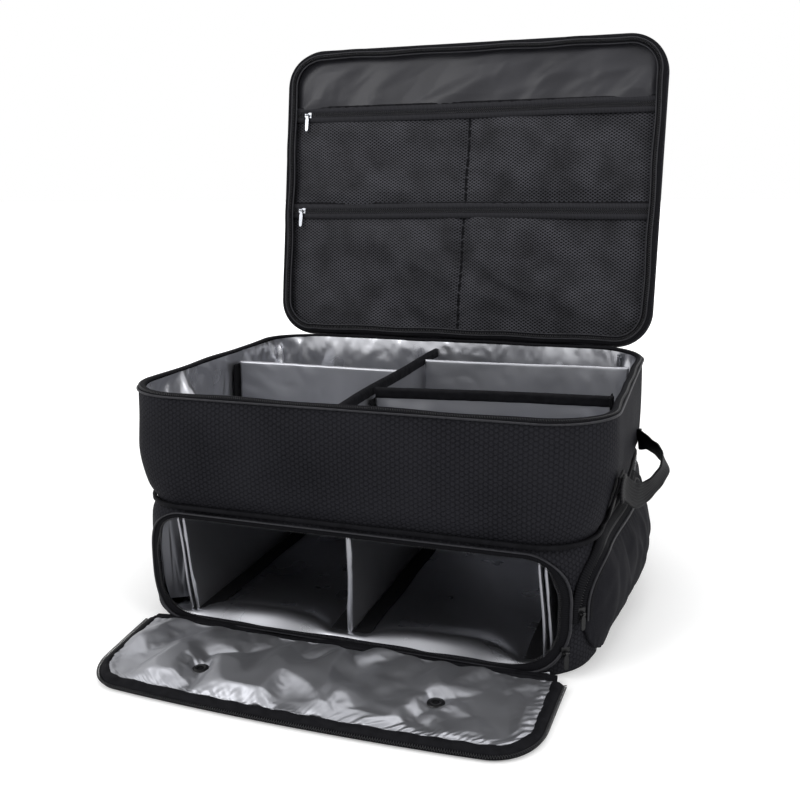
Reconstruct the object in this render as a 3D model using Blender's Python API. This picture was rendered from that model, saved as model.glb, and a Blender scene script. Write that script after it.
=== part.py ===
"""A two-tier collapsible golf organizer, its lid up and its shoe flap lying open.

Units are metres. +Z is up, +X is the organizer's right seen from its front, and -Y is its front.
The origin is the centre of its base, on the ground.
"""

import math

import bmesh
import bpy
from mathutils import Matrix, Vector

for stale in list(bpy.data.objects):
    bpy.data.objects.remove(stale)

# The case as a whole
CASE_WIDTH = 0.440
CASE_DEPTH = 0.358
LOWER_HEIGHT = 0.112
UPPER_HEIGHT = 0.105
CORNER_RADIUS = 0.060
WAIST = LOWER_HEIGHT
RIM = LOWER_HEIGHT + UPPER_HEIGHT
STRAIGHT_X = CASE_WIDTH / 2 - CORNER_RADIUS
STRAIGHT_Y = CASE_DEPTH / 2 - CORNER_RADIUS

# Layers of the sewn wall
GAP = 0.0003  # between pieces that touch
SEAT = 0.0005  # between a curved wall and what is sewn on it
WALL = 0.004
FILM = 0.0012
TAPE = 0.0012
BOARD = 0.005
THIN_BOARD = 0.0025

# How the soft walls stand out from and draw in to their cut outline
WALL_SWELL = 0.002
WAIST_PINCH = 0.005
PINCH_REACH = 0.009
FOOT_TUCK = 0.004
FOOT_REACH = 0.004
FRONT_DRAW = 0.008
DRAW_REACH = 0.120
SIDE_SWELL = 0.006
SWELL_START = -CASE_DEPTH * 0.31
SWELL_END = CASE_DEPTH / 2

# Shoe tier
OPENING_WRAP = 0.037  # how far it reaches round each corner
OPENING_HALF = STRAIGHT_X + OPENING_WRAP  # along the wall, from the front centre
OPENING_SILL = 0.006
OPENING_HEAD = LOWER_HEIGHT - 0.006
OPENING_CORNER = 0.040
OPENING_TAPE = 0.009
TAPE_LAP = 0.0015  # how far a tape lies on the fabric beside its opening
BASE_BOARD_LEFT = -STRAIGHT_X - 0.016
BASE_BOARD_RIGHT = STRAIGHT_X + 0.019
BASE_BOARD_FRONT = -CASE_DEPTH / 2 + 0.0025
BAY_FRONT = -CASE_DEPTH / 2 + 0.011
BAY_BACK = CASE_DEPTH / 2 - 0.017
SHOE_BOARD_TOP = OPENING_HEAD - 0.0015
LEFT_BOARD_FOOT = -STRAIGHT_X + 0.008
LEFT_BOARD_HEAD = -STRAIGHT_X - 0.003
RIGHT_BOARD_FOOT = STRAIGHT_X + 0.014
RIGHT_BOARD_HEAD = STRAIGHT_X + 0.006
CENTRE_BOARD_X = 0.001
BOARD_PITCH = 0.0055  # from an inner side board to its outer one
FOOT_TAPE_WIDTH = 0.016

# Flap
FLAP_HALF = OPENING_HALF - 0.003
FLAP_LENGTH = LOWER_HEIGHT - 0.004
FLAP_BOW = 0.008
FLAP_CORNER = 0.038
FLAP_PAD = 0.0045
FLAP_BAND = 0.012
FLAP_CLEARANCE = 0.0115  # from the case's cut front to the hinge line
FLAP_START = 0.0014  # from the hinge line to the flap's own edge
HINGE_FABRIC = 0.0008
HINGE_LAP = 0.0009  # of that strip past the hinge line
EYELET_PLACES = ((-0.095, 0.069), (0.104, 0.059))
EYELET_RADIUS = 0.0072
EYELET_TUBE = 0.0040
EYELET_HOLE = 0.0031

# Box tier
DIVIDER_TOP = RIM - 0.012
DIVIDER_FIT = 0.0008
HOOK_TAPE_WIDTH = 0.020
CENTRE_DIVIDER_X = -0.019
LEFT_DIVIDER_Y = CASE_DEPTH * 0.112
RIGHT_REAR_YS = (CASE_DEPTH * 0.296, CASE_DEPTH * 0.341)
RIGHT_FRONT_YS = (-CASE_DEPTH * 0.154, -CASE_DEPTH * 0.084)
BINDING_DEPTH = 0.009
RIM_TAPE_FOOT = RIM - 0.0135
SHELL_TOP = RIM - 0.006
RIM_PIPING_DROP = 0.008
PIPING_RADIUS = 0.0020

# Lid
LID_WIDTH = CASE_WIDTH + 0.008
LID_LENGTH = CASE_DEPTH - 0.008
LID_CORNER_HIGH = 0.045
LID_CORNER_LOW = 0.040
LID_DEPTH = 0.018
LID_BAND_WALL = 0.004
LID_RECESS = 0.0090
LID_LEAN = 13.0
LID_TAPE_WIDTH = 0.0100
LID_RISE = 0.0006  # of the hinge line over the rim
LID_SET_BACK = 0.003  # of the hinge line from the case's cut back
LID_STRIP_HALF = STRAIGHT_X - 0.010
POCKET_ZIPS = (LID_LENGTH * 0.434, LID_LENGTH * 0.774)
POCKET_ZIP_WIDTH = 0.018
POCKET_SIDE = 0.0065
POCKET_FOOT = 0.0070

# Zip sliders and pullers
SLIDER_LENGTH = 0.0090
SLIDER_NOSE = 0.0036
SLIDER_TAIL = 0.0024
SLIDER_HEIGHT = 0.0024
BAR_RADIUS = 0.0006
BAR_HALF = 0.0025
EYE_RADIUS = 0.0016
EYE_WALL = 0.0006
EYE_HALF = 0.0012
PULLER_HALF = 0.0021
PULLER_THICKNESS = 0.0010
POCKET_PULLER = 0.020
SIDE_PULLER = 0.014

# Side pockets and handles
SIDE_POCKET_START = OPENING_HALF + 0.015
SIDE_POCKET_END = OPENING_HALF + 0.915 * (CASE_DEPTH - CORNER_RADIUS)
SIDE_POCKET_FOOT = 0.010
SIDE_POCKET_HEAD = WAIST - 0.014
SIDE_POCKET_CORNER = 0.040
SIDE_POCKET_SWELL = 0.012
SIDE_POCKET_EDGE = 0.0015
SIDE_ZIP_WIDTH = 0.0085
SIDE_ZIP_FOOT = 0.044
SIDE_SLIDER_Z = 0.056
OPENING_SLIDER_Z = 0.024
WEBBING_WIDTH = 0.028
WEBBING = 0.0022
TAIL_HEAD = WAIST + 0.048
HANDLE_ROUTE = (  # places of the strap's middle along Y, over the waist, and how far it stands off the wall
    (-0.128, 0.035, 0.0045),
    (-0.104, 0.031, 0.0045),
    (-0.076, 0.026, 0.0048),
    (-0.046, 0.021, 0.0125),
    (-0.012, 0.022, 0.0260),
    (0.022, 0.028, 0.0310),
    (0.050, 0.034, 0.0250),
    (0.074, 0.038, 0.0120),
    (0.092, 0.039, 0.0022),
    (0.106, 0.039, 0.0017),
    (0.118, 0.039, 0.0017),
)

ARC_STEPS = 9
FRONT_STEPS = 3
SIDE_STEPS = 10


def material(name, red, green, blue, roughness, metallic=0.0):
    made = bpy.data.materials.new(name)
    made.use_nodes = True
    shader = made.node_tree.nodes["Principled BSDF"]
    shader.inputs["Base Color"].default_value = (red, green, blue, 1)
    shader.inputs["Roughness"].default_value = roughness
    shader.inputs["Metallic"].default_value = metallic
    return made


OXFORD = material("black oxford fabric", 0.016, 0.016, 0.019, 0.75)
WEB = material("black webbing and tape", 0.012, 0.012, 0.013, 0.85)
SILVER = material("silver film", 0.62, 0.62, 0.64, 0.32, 0.7)
NYLON = material("black nylon lining", 0.03, 0.03, 0.034, 0.42)
MESH = material("black mesh", 0.018, 0.018, 0.02, 0.8)
CHROME = material("bright zinc", 0.75, 0.75, 0.76, 0.22, 1.0)
BLACK_METAL = material("black lacquered zinc", 0.02, 0.02, 0.022, 0.35, 0.6)


def finish(name, mesh, finish_material, parent=None, smooth_angle=35.0):
    made = bpy.data.objects.new(name, mesh)
    bpy.context.scene.collection.objects.link(made)
    mesh.materials.append(finish_material)
    mesh.shade_smooth()
    mesh.set_sharp_from_angle(angle=math.radians(smooth_angle))
    made.parent = parent
    return made


def skin(name, rings, finish_material, parent=None, around=False):
    """One closed solid over rings of equal length. Its end rings are capped, or joined if around is set."""
    bm = bmesh.new()
    loops = [[bm.verts.new(point) for point in ring] for ring in rings]
    pairs = list(zip(loops, loops[1:]))
    if around:
        pairs.append((loops[-1], loops[0]))
    else:
        bm.faces.new(loops[0])
        bm.faces.new(loops[-1])
    for one, other in pairs:
        for here in range(len(one)):
            there = (here + 1) % len(one)
            corners = (one[here], one[there], other[there], other[here])
            # Twisted quads are split along the shorter way, so that nested layers bend alike
            if (corners[0].co - corners[2].co).length > (corners[1].co - corners[3].co).length:
                corners = corners[1:] + corners[:1]
            bm.faces.new(corners[:3])
            bm.faces.new((corners[0], corners[2], corners[3]))
    bmesh.ops.recalc_face_normals(bm, faces=bm.faces)
    mesh = bpy.data.meshes.new(name)
    bm.to_mesh(mesh)
    bm.free()
    return finish(name, mesh, finish_material, parent)


def box(name, low, high, finish_material, parent=None, edge=0.0004):
    """A plate between two corners, its edges rounded."""
    bm = bmesh.new()
    bmesh.ops.create_cube(bm, size=1)
    size = Vector(high) - Vector(low)
    middle = (Vector(high) + Vector(low)) / 2
    bmesh.ops.scale(bm, vec=size, verts=bm.verts)
    bmesh.ops.translate(bm, vec=middle, verts=bm.verts)
    mesh = bpy.data.meshes.new(name)
    bm.to_mesh(mesh)
    bm.free()
    made = finish(name, mesh, finish_material, parent)
    rounding = made.modifiers.new("edges", "BEVEL")
    rounding.width = edge
    rounding.segments = 2
    return made


def piping(name, points, radius, finish_material, around=True):
    """A round cord along the points."""
    curve = bpy.data.curves.new(name, "CURVE")
    curve.dimensions = "3D"
    curve.bevel_depth = radius
    curve.bevel_resolution = 1
    curve.use_fill_caps = True
    spline = curve.splines.new("POLY")
    spline.points.add(len(points) - 1)
    for knot, point in zip(spline.points, points):
        knot.co = (*point, 1)
    spline.use_cyclic_u = around
    curve.materials.append(finish_material)
    made = bpy.data.objects.new(name, curve)
    bpy.context.scene.collection.objects.link(made)
    return made


def combine(made, other, operation):
    """Cuts other out of made, or joins it on, and leaves other out of the part."""
    step = made.modifiers.new(operation.lower(), "BOOLEAN")
    step.operation = operation
    step.object = other
    other.hide_render = True
    other.display_type = "WIRE"
    return made


def ease(share):
    """A smooth step from 0 to 1."""
    share = min(max(share, 0), 1)
    return share * share * (3 - 2 * share)


QUARTER = CORNER_RADIUS * math.pi / 2
SIDE_START = STRAIGHT_X + QUARTER
BACK_ARC_START = SIDE_START + 2 * STRAIGHT_Y
BACK_START = BACK_ARC_START + QUARTER
HALF_ROUND = BACK_START + STRAIGHT_X


def slack(z):
    """How far the soft wall stands out from its cut outline at height z."""
    share = z / WAIST if z < WAIST else (z - WAIST) / UPPER_HEIGHT
    swell = WALL_SWELL * math.sin(math.pi * min(max(share, 0), 1))
    pinch = WAIST_PINCH * math.exp(-(((z - WAIST) / PINCH_REACH) ** 2))
    tuck = FOOT_TUCK * math.exp(-((z / FOOT_REACH) ** 2))
    return swell - pinch - tuck


def side_shift(y, z):
    """The shoe tier's sides are drawn in at the front and swell behind it."""
    low = 1 - ease((z - WAIST) / (UPPER_HEIGHT / 2))
    front = 1 - ease((y + STRAIGHT_Y) / DRAW_REACH)
    middle = math.sin(math.pi * min(max((y - SWELL_START) / (SWELL_END - SWELL_START), 0), 1))
    height = math.sin(math.pi * min(max(z / WAIST, 0), 1))
    return low * (SIDE_SWELL * middle * height - FRONT_DRAW * front)


def plan_frame(along):
    """Centre of curvature and outward direction at a distance along the cut outline from its front centre."""
    side = 1 if along >= 0 else -1
    run = abs(along)
    if run <= STRAIGHT_X:
        return Vector((side * run, -STRAIGHT_Y)), Vector((0, -1))
    if run <= SIDE_START:
        angle = (run - STRAIGHT_X) / CORNER_RADIUS
        return Vector((side * STRAIGHT_X, -STRAIGHT_Y)), Vector((side * math.sin(angle), -math.cos(angle)))
    if run <= BACK_ARC_START:
        return Vector((side * STRAIGHT_X, run - SIDE_START - STRAIGHT_Y)), Vector((side, 0))
    if run <= BACK_START:
        angle = (run - BACK_ARC_START) / CORNER_RADIUS
        return Vector((side * STRAIGHT_X, STRAIGHT_Y)), Vector((side * math.cos(angle), math.sin(angle)))
    return Vector((side * (STRAIGHT_X - (run - BACK_START)), STRAIGHT_Y)), Vector((0, 1))


def wall_point(along, z, out):
    """The point that stands out this far from the case's outer face."""
    centre, outward = plan_frame(along)
    point = centre + (CORNER_RADIUS + slack(z) + out) * outward
    return Vector((point.x + outward.x * side_shift(centre.y, z), point.y, z))


def spread(start, end, count):
    return [start + (end - start) * step / count for step in range(count + 1)]


HALF_STATIONS = (
    spread(0, STRAIGHT_X, FRONT_STEPS)
    + spread(STRAIGHT_X, SIDE_START, ARC_STEPS)[1:]
    + spread(SIDE_START, BACK_ARC_START, SIDE_STEPS)[1:]
    + spread(BACK_ARC_START, BACK_START, ARC_STEPS)[1:]
    + spread(BACK_START, HALF_ROUND, FRONT_STEPS)[1:]
)
ROUND_STATIONS = [-along for along in reversed(HALF_STATIONS[1:])] + HALF_STATIONS[:-1]


def stations(start, end):
    """The case's own stations between two distances along its outline, and those two."""
    margin = 0.0005
    between = [along for along in ROUND_STATIONS if start + margin < along < end - margin]
    return [start] + between + [end]


def side_station(y):
    """The distance along the outline of a place y on the right side's straight."""
    return SIDE_START + y + STRAIGHT_Y


def ring(z, out):
    return [wall_point(along, z, out) for along in ROUND_STATIONS]


def panel(name, columns, low, high, under, over, place, finish_material, rows=1, parent=None):
    """A sheet solid on a surface. Each column runs from low to high, and under and over are its two faces."""
    sections = []
    for across in columns:
        heights = spread(low(across), high(across), rows)
        back = [place(across, height, under(across, height)) for height in heights]
        face = [place(across, height, over(across, height)) for height in reversed(heights)]
        sections.append(back + face)
    return skin(name, sections, finish_material, parent)


def ribbon(name, path, left, right, under, over, place, finish_material, parent=None, around=False):
    """A tape along a path on a surface, between two distances to the left and right of the way it runs."""
    sections = []
    last = len(path) - 1
    for here, (across, height) in enumerate(path):
        before = path[here - 1] if around or here else path[here]
        after = path[(here + 1) % len(path)] if around or here < last else path[here]
        run = Vector(after) - Vector(before)
        turned = Vector((-run.y, run.x)).normalized()
        inner = Vector((across, height)) - turned * right
        outer = Vector((across, height)) + turned * left
        sections.append([place(*inner, under), place(*outer, under), place(*outer, over), place(*inner, over)])
    return skin(name, sections, finish_material, parent, around)


def rounded_top(across, start, end, foot, head, radius):
    """Height of a panel's top edge, which is rounded over at both of its ends."""
    reach = min(across - start, end - across)
    if reach >= radius:
        return head
    drop = radius - math.sqrt(max(radius * radius - (radius - reach) ** 2, 0))
    return max(head - drop, foot)


def rounded_columns(start, end, radius, between):
    """Columns for such a panel, closer where its top is rounded."""
    close = [radius * (1 - math.cos(math.pi / 2 * step / 6)) for step in range(7)]
    kept = [start + step for step in close] + [end - step for step in close]
    clear = 0.0012
    kept += [across for across in between
             if start < across < end and min(abs(across - other) for other in kept) > clear]
    return sorted(kept)


def arch_path(start, end, foot, head, radius, between, steps=8):
    """Up one side, over rounded corners and down the other."""
    left = [(start + radius * (1 - math.cos(turn)), head - radius * (1 - math.sin(turn)))
            for turn in spread(0, math.pi / 2, steps)]
    middle = [(across, head) for across in between if start + radius < across < end - radius]
    right = [(end - radius * (1 - math.cos(turn)), head - radius * (1 - math.sin(turn)))
             for turn in spread(math.pi / 2, 0, steps)]
    return [(start, foot)] + left + middle + right + [(end, foot)]


def rounded_outline(half, low, high, low_radius, high_radius, steps=7):
    """A rectangle with rounded corners, anticlockwise from its low right corner."""
    corners = (
        (half - low_radius, low + low_radius, low_radius, -90),
        (half - high_radius, high - high_radius, high_radius, 0),
        (high_radius - half, high - high_radius, high_radius, 90),
        (low_radius - half, low + low_radius, low_radius, 180),
    )
    outline = []
    for middle_x, middle_y, radius, start in corners:
        for turn in spread(start, start + 90, steps):
            angle = math.radians(turn)
            outline.append((middle_x + radius * math.cos(angle), middle_y + radius * math.sin(angle)))
    return outline


def constant(value):
    return lambda across, height=0.0: value


# Lower shell: a padded box whose front is cut open round both corners
def lower_shell():
    levels = (0, 0.003, 0.008, *(WAIST * share for share in (0.27, 0.5, 0.73, 0.893)), OPENING_HEAD, WAIST - GAP)
    shell = skin("lower_shell", [ring(z, 0) for z in levels], OXFORD)
    combine(shell, front_opening("opening_cutter", 0, -0.020, 0.020), "DIFFERENCE")
    return combine(shell, hollow("lower_cavity", WALL, WALL, WAIST - WALL), "DIFFERENCE")


def hollow(name, inset, foot, head):
    """The solid form of the shoe tier's space at an inset from the outer face."""
    levels = [foot] + spread(OPENING_SILL + 0.004, OPENING_HEAD - 0.012, 4) + [head]
    return skin(name, [ring(z, -inset) for z in sorted(levels)], SILVER)


def front_opening(name, grow, inner, outer):
    columns = rounded_columns(-OPENING_HALF - grow, OPENING_HALF + grow, OPENING_CORNER, ROUND_STATIONS)
    return panel(
        name, columns, constant(OPENING_SILL - grow),
        lambda across: rounded_top(
            across, -OPENING_HALF - grow, OPENING_HALF + grow, OPENING_SILL, OPENING_HEAD + grow, OPENING_CORNER),
        constant(inner), constant(outer), wall_point, OXFORD, rows=4,
    )


LINING_FOOT = WALL + GAP
LINING_HEAD = WAIST - WALL - GAP
FLOOR_FACE = LINING_FOOT + FILM


def lower_lining():
    lining = hollow("lower_lining", WALL + GAP, LINING_FOOT, LINING_HEAD)
    combine(lining, front_opening("lining_opening_cutter", 0, -0.020, 0.020), "DIFFERENCE")
    inside = hollow("lining_cavity", WALL + GAP + FILM, FLOOR_FACE, LINING_HEAD - FILM)
    return combine(lining, inside, "DIFFERENCE")


def opening_zip_tape():
    foot = OPENING_SILL + 0.001
    path = arch_path(-OPENING_HALF, OPENING_HALF, foot, OPENING_HEAD, OPENING_CORNER, ROUND_STATIONS)
    ribbon("opening_zip_tape", path, TAPE_LAP, OPENING_TAPE - TAPE_LAP, SEAT, SEAT + TAPE, wall_point, WEB)


BASE_BOARD_FOOT = OPENING_SILL + GAP
BASE_BOARD_FACE = BASE_BOARD_FOOT + THIN_BOARD
SHOE_BOARD_FOOT = BASE_BOARD_FACE + GAP


def shoe_board(name, foot_x, head_x, thickness=THIN_BOARD):
    """An upright board from front to back, leaning from its foot to its head."""
    rings = []
    for y in (BAY_FRONT, BAY_BACK):
        feet = [Vector((foot_x + side * thickness / 2, y, SHOE_BOARD_FOOT)) for side in (-1, 1)]
        heads = [Vector((head_x + side * thickness / 2, y, SHOE_BOARD_TOP)) for side in (1, -1)]
        rings.append(feet + heads)
    return skin(name, rings, SILVER)


def shoe_bays():
    box("base_board", (BASE_BOARD_LEFT, BASE_BOARD_FRONT, BASE_BOARD_FOOT),
        (BASE_BOARD_RIGHT, BAY_BACK, BASE_BOARD_FACE), SILVER)
    shoe_board("left_inner_board", LEFT_BOARD_FOOT, LEFT_BOARD_HEAD)
    shoe_board("left_outer_board", LEFT_BOARD_FOOT - BOARD_PITCH, LEFT_BOARD_HEAD - BOARD_PITCH)
    shoe_board("centre_board", CENTRE_BOARD_X, CENTRE_BOARD_X, BOARD)
    shoe_board("right_inner_board", RIGHT_BOARD_FOOT, RIGHT_BOARD_HEAD)
    shoe_board("right_outer_board", RIGHT_BOARD_FOOT + BOARD_PITCH, RIGHT_BOARD_HEAD + BOARD_PITCH)
    clear = THIN_BOARD / 2 + GAP
    starts = {
        "left_foot_tape": LEFT_BOARD_FOOT + clear,
        "centre_foot_tape_left": CENTRE_BOARD_X - BOARD / 2 - GAP - FOOT_TAPE_WIDTH,
        "centre_foot_tape_right": CENTRE_BOARD_X + BOARD / 2 + GAP,
        "right_foot_tape": RIGHT_BOARD_FOOT - clear - FOOT_TAPE_WIDTH,
    }
    for name, start in starts.items():
        box(name, (start, BAY_FRONT + 0.002, SHOE_BOARD_FOOT),
            (start + FOOT_TAPE_WIDTH, BAY_BACK, SHOE_BOARD_FOOT + TAPE), WEB)


# Upper shell: an open box of padded fabric on its own floor
UPPER_FOOT = WAIST + GAP
UPPER_FLOOR = UPPER_FOOT + WALL
TRAY_FACE = UPPER_FLOOR + GAP + FILM
UPPER_LEVELS = tuple(UPPER_FOOT + share * UPPER_HEIGHT for share in (0.038, 0.114, 0.226, 0.36, 0.50, 0.645))


def open_box(name, inset, foot, thickness, top, finish_material):
    """A box without a lid: its outer rings run up and its inner rings back down to the floor."""
    levels = [*UPPER_LEVELS, top]
    outer = [ring(z, -inset) for z in [foot] + [z for z in levels if z > foot + 0.001]]
    floor = foot + thickness
    inner = [ring(z, -inset - thickness) for z in reversed([floor] + [z for z in levels if z > floor + 0.001])]
    return skin(name, outer + inner, finish_material)


def upper_tier():
    open_box("upper_shell", 0, UPPER_FOOT, WALL, SHELL_TOP, OXFORD)
    open_box("upper_lining", WALL + GAP, UPPER_FLOOR + GAP, FILM, RIM_TAPE_FOOT - GAP, SILVER)
    face = -WALL - GAP
    lip = -PIPING_RADIUS
    inner = [ring(RIM_TAPE_FOOT, face - TAPE), ring(SHELL_TOP, face - TAPE + 0.0003), ring(RIM, lip - TAPE)]
    outer = [ring(RIM, lip), ring(SHELL_TOP + GAP, face + 0.0003), ring(RIM_TAPE_FOOT, face)]
    skin("rim_zip_tape", inner + outer, WEB, around=True)
    piping("rim_piping", ring(RIM - RIM_PIPING_DROP, PIPING_RADIUS + SEAT), PIPING_RADIUS, WEB)
    piping("waist_piping", ring(WAIST, PIPING_RADIUS + SEAT), PIPING_RADIUS, WEB)


INNER_FACE = WALL + GAP + FILM


def room_at(z):
    """How far the lined inner wall is in from the cut outline at height z."""
    return INNER_FACE - slack(z)


def wall_tape(name, along):
    """A strip of loop tape from near the floor to the rim on the lined wall."""
    out = -INNER_FACE - GAP
    levels = [*UPPER_LEVELS[1:], RIM_TAPE_FOOT - 0.002]
    sections = []
    for across in stations(along - HOOK_TAPE_WIDTH / 2, along + HOOK_TAPE_WIDTH / 2):
        back = [wall_point(across, z, out) for z in levels]
        face = [wall_point(across, z, out - TAPE) for z in reversed(levels)]
        sections.append(back + face)
    skin(name, sections, WEB)


def plate(name, start, end, foot, head, thickness, finish_material):
    """An upright board between two plan points."""
    run = Vector(end) - Vector(start)
    square = Vector((-run.y, run.x)).normalized() * thickness / 2
    plan = [Vector(start) + square, Vector(start) - square, Vector(end) - square, Vector(end) + square]
    made = skin(name, [[(*point, z) for point in plan] for z in (foot, head)], finish_material)
    rounding = made.modifiers.new("edges", "BEVEL")
    rounding.width = 0.0005
    rounding.segments = 1
    return made


def edge_binding(name, start, end, head, thickness):
    """Folded tape over the top edge of such a board."""
    run = Vector(end) - Vector(start)
    square = Vector((-run.y, run.x)).normalized()
    inner = thickness / 2 + GAP
    outer = inner + TAPE
    foot = head - BINDING_DEPTH
    section = ((-outer, foot), (-outer, head + GAP + TAPE), (outer, head + GAP + TAPE), (outer, foot),
               (inner, foot), (inner, head + GAP), (-inner, head + GAP), (-inner, foot))
    rings = [[(*(Vector(at) + square * across), z) for across, z in section] for at in (start, end)]
    return skin(name, rings, WEB)


def dividers():
    foot = TRAY_FACE + GAP
    reach_y = CASE_DEPTH / 2 - room_at(foot) - DIVIDER_FIT
    reach_x = CASE_WIDTH / 2 - room_at(foot) - TAPE - GAP - DIVIDER_FIT
    front = (CENTRE_DIVIDER_X, -reach_y)
    back = (CENTRE_DIVIDER_X, reach_y)
    plate("centre_divider", front, back, foot, DIVIDER_TOP, BOARD, SILVER)
    edge_binding("centre_divider_binding", front, back, DIVIDER_TOP, BOARD)
    left_face = CENTRE_DIVIDER_X - BOARD / 2
    right_face = CENTRE_DIVIDER_X + BOARD / 2
    clear = GAP + TAPE + DIVIDER_FIT
    plate("left_cross_divider", (-reach_x, LEFT_DIVIDER_Y), (left_face - clear, LEFT_DIVIDER_Y),
          foot, DIVIDER_TOP, BOARD, SILVER)
    start_x = right_face + clear + 0.0005
    end_x = reach_x - 0.0025
    rear = ((start_x, RIGHT_REAR_YS[0]), (end_x, RIGHT_REAR_YS[1]))
    plate("right_rear_divider", *rear, foot, DIVIDER_TOP, BOARD, SILVER)
    near = ((start_x, RIGHT_FRONT_YS[0]), (end_x, RIGHT_FRONT_YS[1]))
    plate("right_front_divider", *near, foot, DIVIDER_TOP, BOARD, SILVER)
    edge_binding("right_front_binding", *near, DIVIDER_TOP, BOARD)
    wall_tape("left_wall_tape", -side_station(LEFT_DIVIDER_Y))
    wall_tape("right_wall_rear_tape", side_station(RIGHT_REAR_YS[1] - 0.004))
    wall_tape("right_wall_front_tape", side_station(RIGHT_FRONT_YS[1]))
    top = DIVIDER_TOP - BINDING_DEPTH - GAP
    x = right_face + GAP
    y = RIGHT_FRONT_YS[0]
    box("centre_divider_tape", (x, y - HOOK_TAPE_WIDTH / 2, foot), (x + TAPE, y + HOOK_TAPE_WIDTH / 2, top), WEB)


# Zip sliders: a cast body with a bar standing over it, and a puller whose eye turns on the bar
BAR_HEIGHT = SLIDER_HEIGHT + GAP + EYE_RADIUS


def zip_slider(name, place, upright, finish_material, parent=None):
    """A slider whose bar runs along its own X, on a zip along X, or along Y if upright is set."""
    half = SLIDER_LENGTH / 2
    outline = ((-half, SLIDER_TAIL), (-half * 0.2, SLIDER_TAIL), (half * 0.3, SLIDER_NOSE), (half, SLIDER_NOSE))
    outline = outline + tuple((x, -y) for x, y in reversed(outline))
    if upright:
        outline = tuple((-y, x) for x, y in outline)
    rings = [[(x * share, y * share, z) for x, y in outline]
             for z, share in ((0, 0.94), (0.0006, 1), (SLIDER_HEIGHT - 0.0006, 1), (SLIDER_HEIGHT, 0.9))]
    body = skin(name, rings, finish_material, parent)
    knee = 0.0006
    path = [(-BAR_HALF, SLIDER_HEIGHT / 2), (-BAR_HALF, BAR_HEIGHT - knee), (-BAR_HALF + knee, BAR_HEIGHT),
            (BAR_HALF - knee, BAR_HEIGHT), (BAR_HALF, BAR_HEIGHT - knee), (BAR_HALF, SLIDER_HEIGHT / 2)]
    last = len(path) - 1
    sections = []
    for here, (x, z) in enumerate(path):
        run = (Vector(path[min(here + 1, last)]) - Vector(path[max(here - 1, 0)])).normalized()
        sections.append([
            (x - run.y * BAR_RADIUS * math.cos(turn), BAR_RADIUS * math.sin(turn),
             z + run.x * BAR_RADIUS * math.cos(turn))
            for turn in spread(0, 2 * math.pi, 8)[:-1]
        ])
    bar = skin(name + "_bar", sections, finish_material, parent)
    for made in (body, bar):
        made.matrix_basis = place
    return combine(body, bar, "UNION")


def zip_puller(name, place, length, finish_material, parent=None):
    """The puller's eye is round the bar, at its own origin, and its tab hangs along -Y."""
    middle = EYE_RADIUS - EYE_WALL / 2
    sections = []
    for turn in spread(0, 2 * math.pi, 12)[:-1]:
        rim = [(side * EYE_HALF, radius * math.cos(turn), radius * math.sin(turn))
               for side, radius in ((-1, EYE_RADIUS - EYE_WALL), (1, EYE_RADIUS - EYE_WALL),
                                    (1, EYE_RADIUS), (-1, EYE_RADIUS))]
        sections.append(rim)
    eye = skin(name, sections, finish_material, parent, around=True)
    half = PULLER_HALF
    outline = [(-EYE_HALF, -middle), (-half, -length * 0.32), (-half * 0.9, -length * 0.9), (-half * 0.5, -length)]
    outline = outline + [(-x, y) for x, y in reversed(outline)]
    rings = [[(x, y, z) for x, y in outline] for z in (-PULLER_THICKNESS / 2, PULLER_THICKNESS / 2)]
    tab = skin(name + "_tab", rings, finish_material, parent)
    for made in (eye, tab):
        made.matrix_basis = place
    return combine(eye, tab, "UNION")


def slider_and_puller(name, place, length, upright, finish_material, parent=None):
    zip_slider(name + "_slider", place, upright, finish_material, parent)
    bar = place @ Matrix.Translation((0, 0, BAR_HEIGHT))
    zip_puller(name + "_puller", bar, length, finish_material, parent)


def wall_place(along, z, out, inside=False):
    """A frame on the wall: Y up, and Z out of the case, or into it if inside is set."""
    face = Vector((*plan_frame(along)[1], 0)) * (-1 if inside else 1)
    up = Vector((0, 0, 1))
    turn = Matrix((up.cross(face), up, face)).transposed().to_4x4()
    return Matrix.Translation(wall_point(along, z, out)) @ turn


# Lid
HINGE_Y = CASE_DEPTH / 2 - LID_SET_BACK
HINGE_Z = RIM + LID_RISE
NYLON_FACE = LID_RECESS
PANEL_BACK = NYLON_FACE - GAP
PANEL_FACE = PANEL_BACK - 0.0009
ZIP_BACK = PANEL_FACE - GAP
ZIP_FACE = ZIP_BACK - 0.0009


def lid_point(across, up, depth):
    """A point of the lid in its own frame: depth is measured back from the front of its edge tape."""
    return Vector((across, depth, up))


def lid_ring(inset, depth):
    outline = rounded_outline(LID_WIDTH / 2 - inset, inset, LID_LENGTH - inset,
                              LID_CORNER_LOW - inset, LID_CORNER_HIGH - inset)
    return [lid_point(x, z, depth) for x, z in outline]


def lid(frame):
    front = TAPE + GAP
    floor = LID_RECESS + FILM + GAP
    profile = ((LID_BAND_WALL, floor), (LID_BAND_WALL, front), (0.0005, front), (0, front + 0.004),
               (0, LID_DEPTH - 0.005), (0.0015, LID_DEPTH - 0.0015), (0.004, LID_DEPTH))
    skin("lid_shell", [lid_ring(inset, depth) for inset, depth in profile], OXFORD, frame)
    inset = LID_BAND_WALL + GAP
    skin("lid_lining", [lid_ring(inset, depth) for depth in (LID_RECESS, LID_RECESS + FILM)], NYLON, frame)
    edge = rounded_outline(LID_WIDTH / 2 - 0.0008, 0.0008, LID_LENGTH - 0.0008,
                           LID_CORNER_LOW - 0.0008, LID_CORNER_HIGH - 0.0008)
    ribbon("lid_zip_tape", edge, LID_TAPE_WIDTH, 0, 0, TAPE, lid_point, WEB, frame, around=True)
    lid_pockets(frame)


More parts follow.
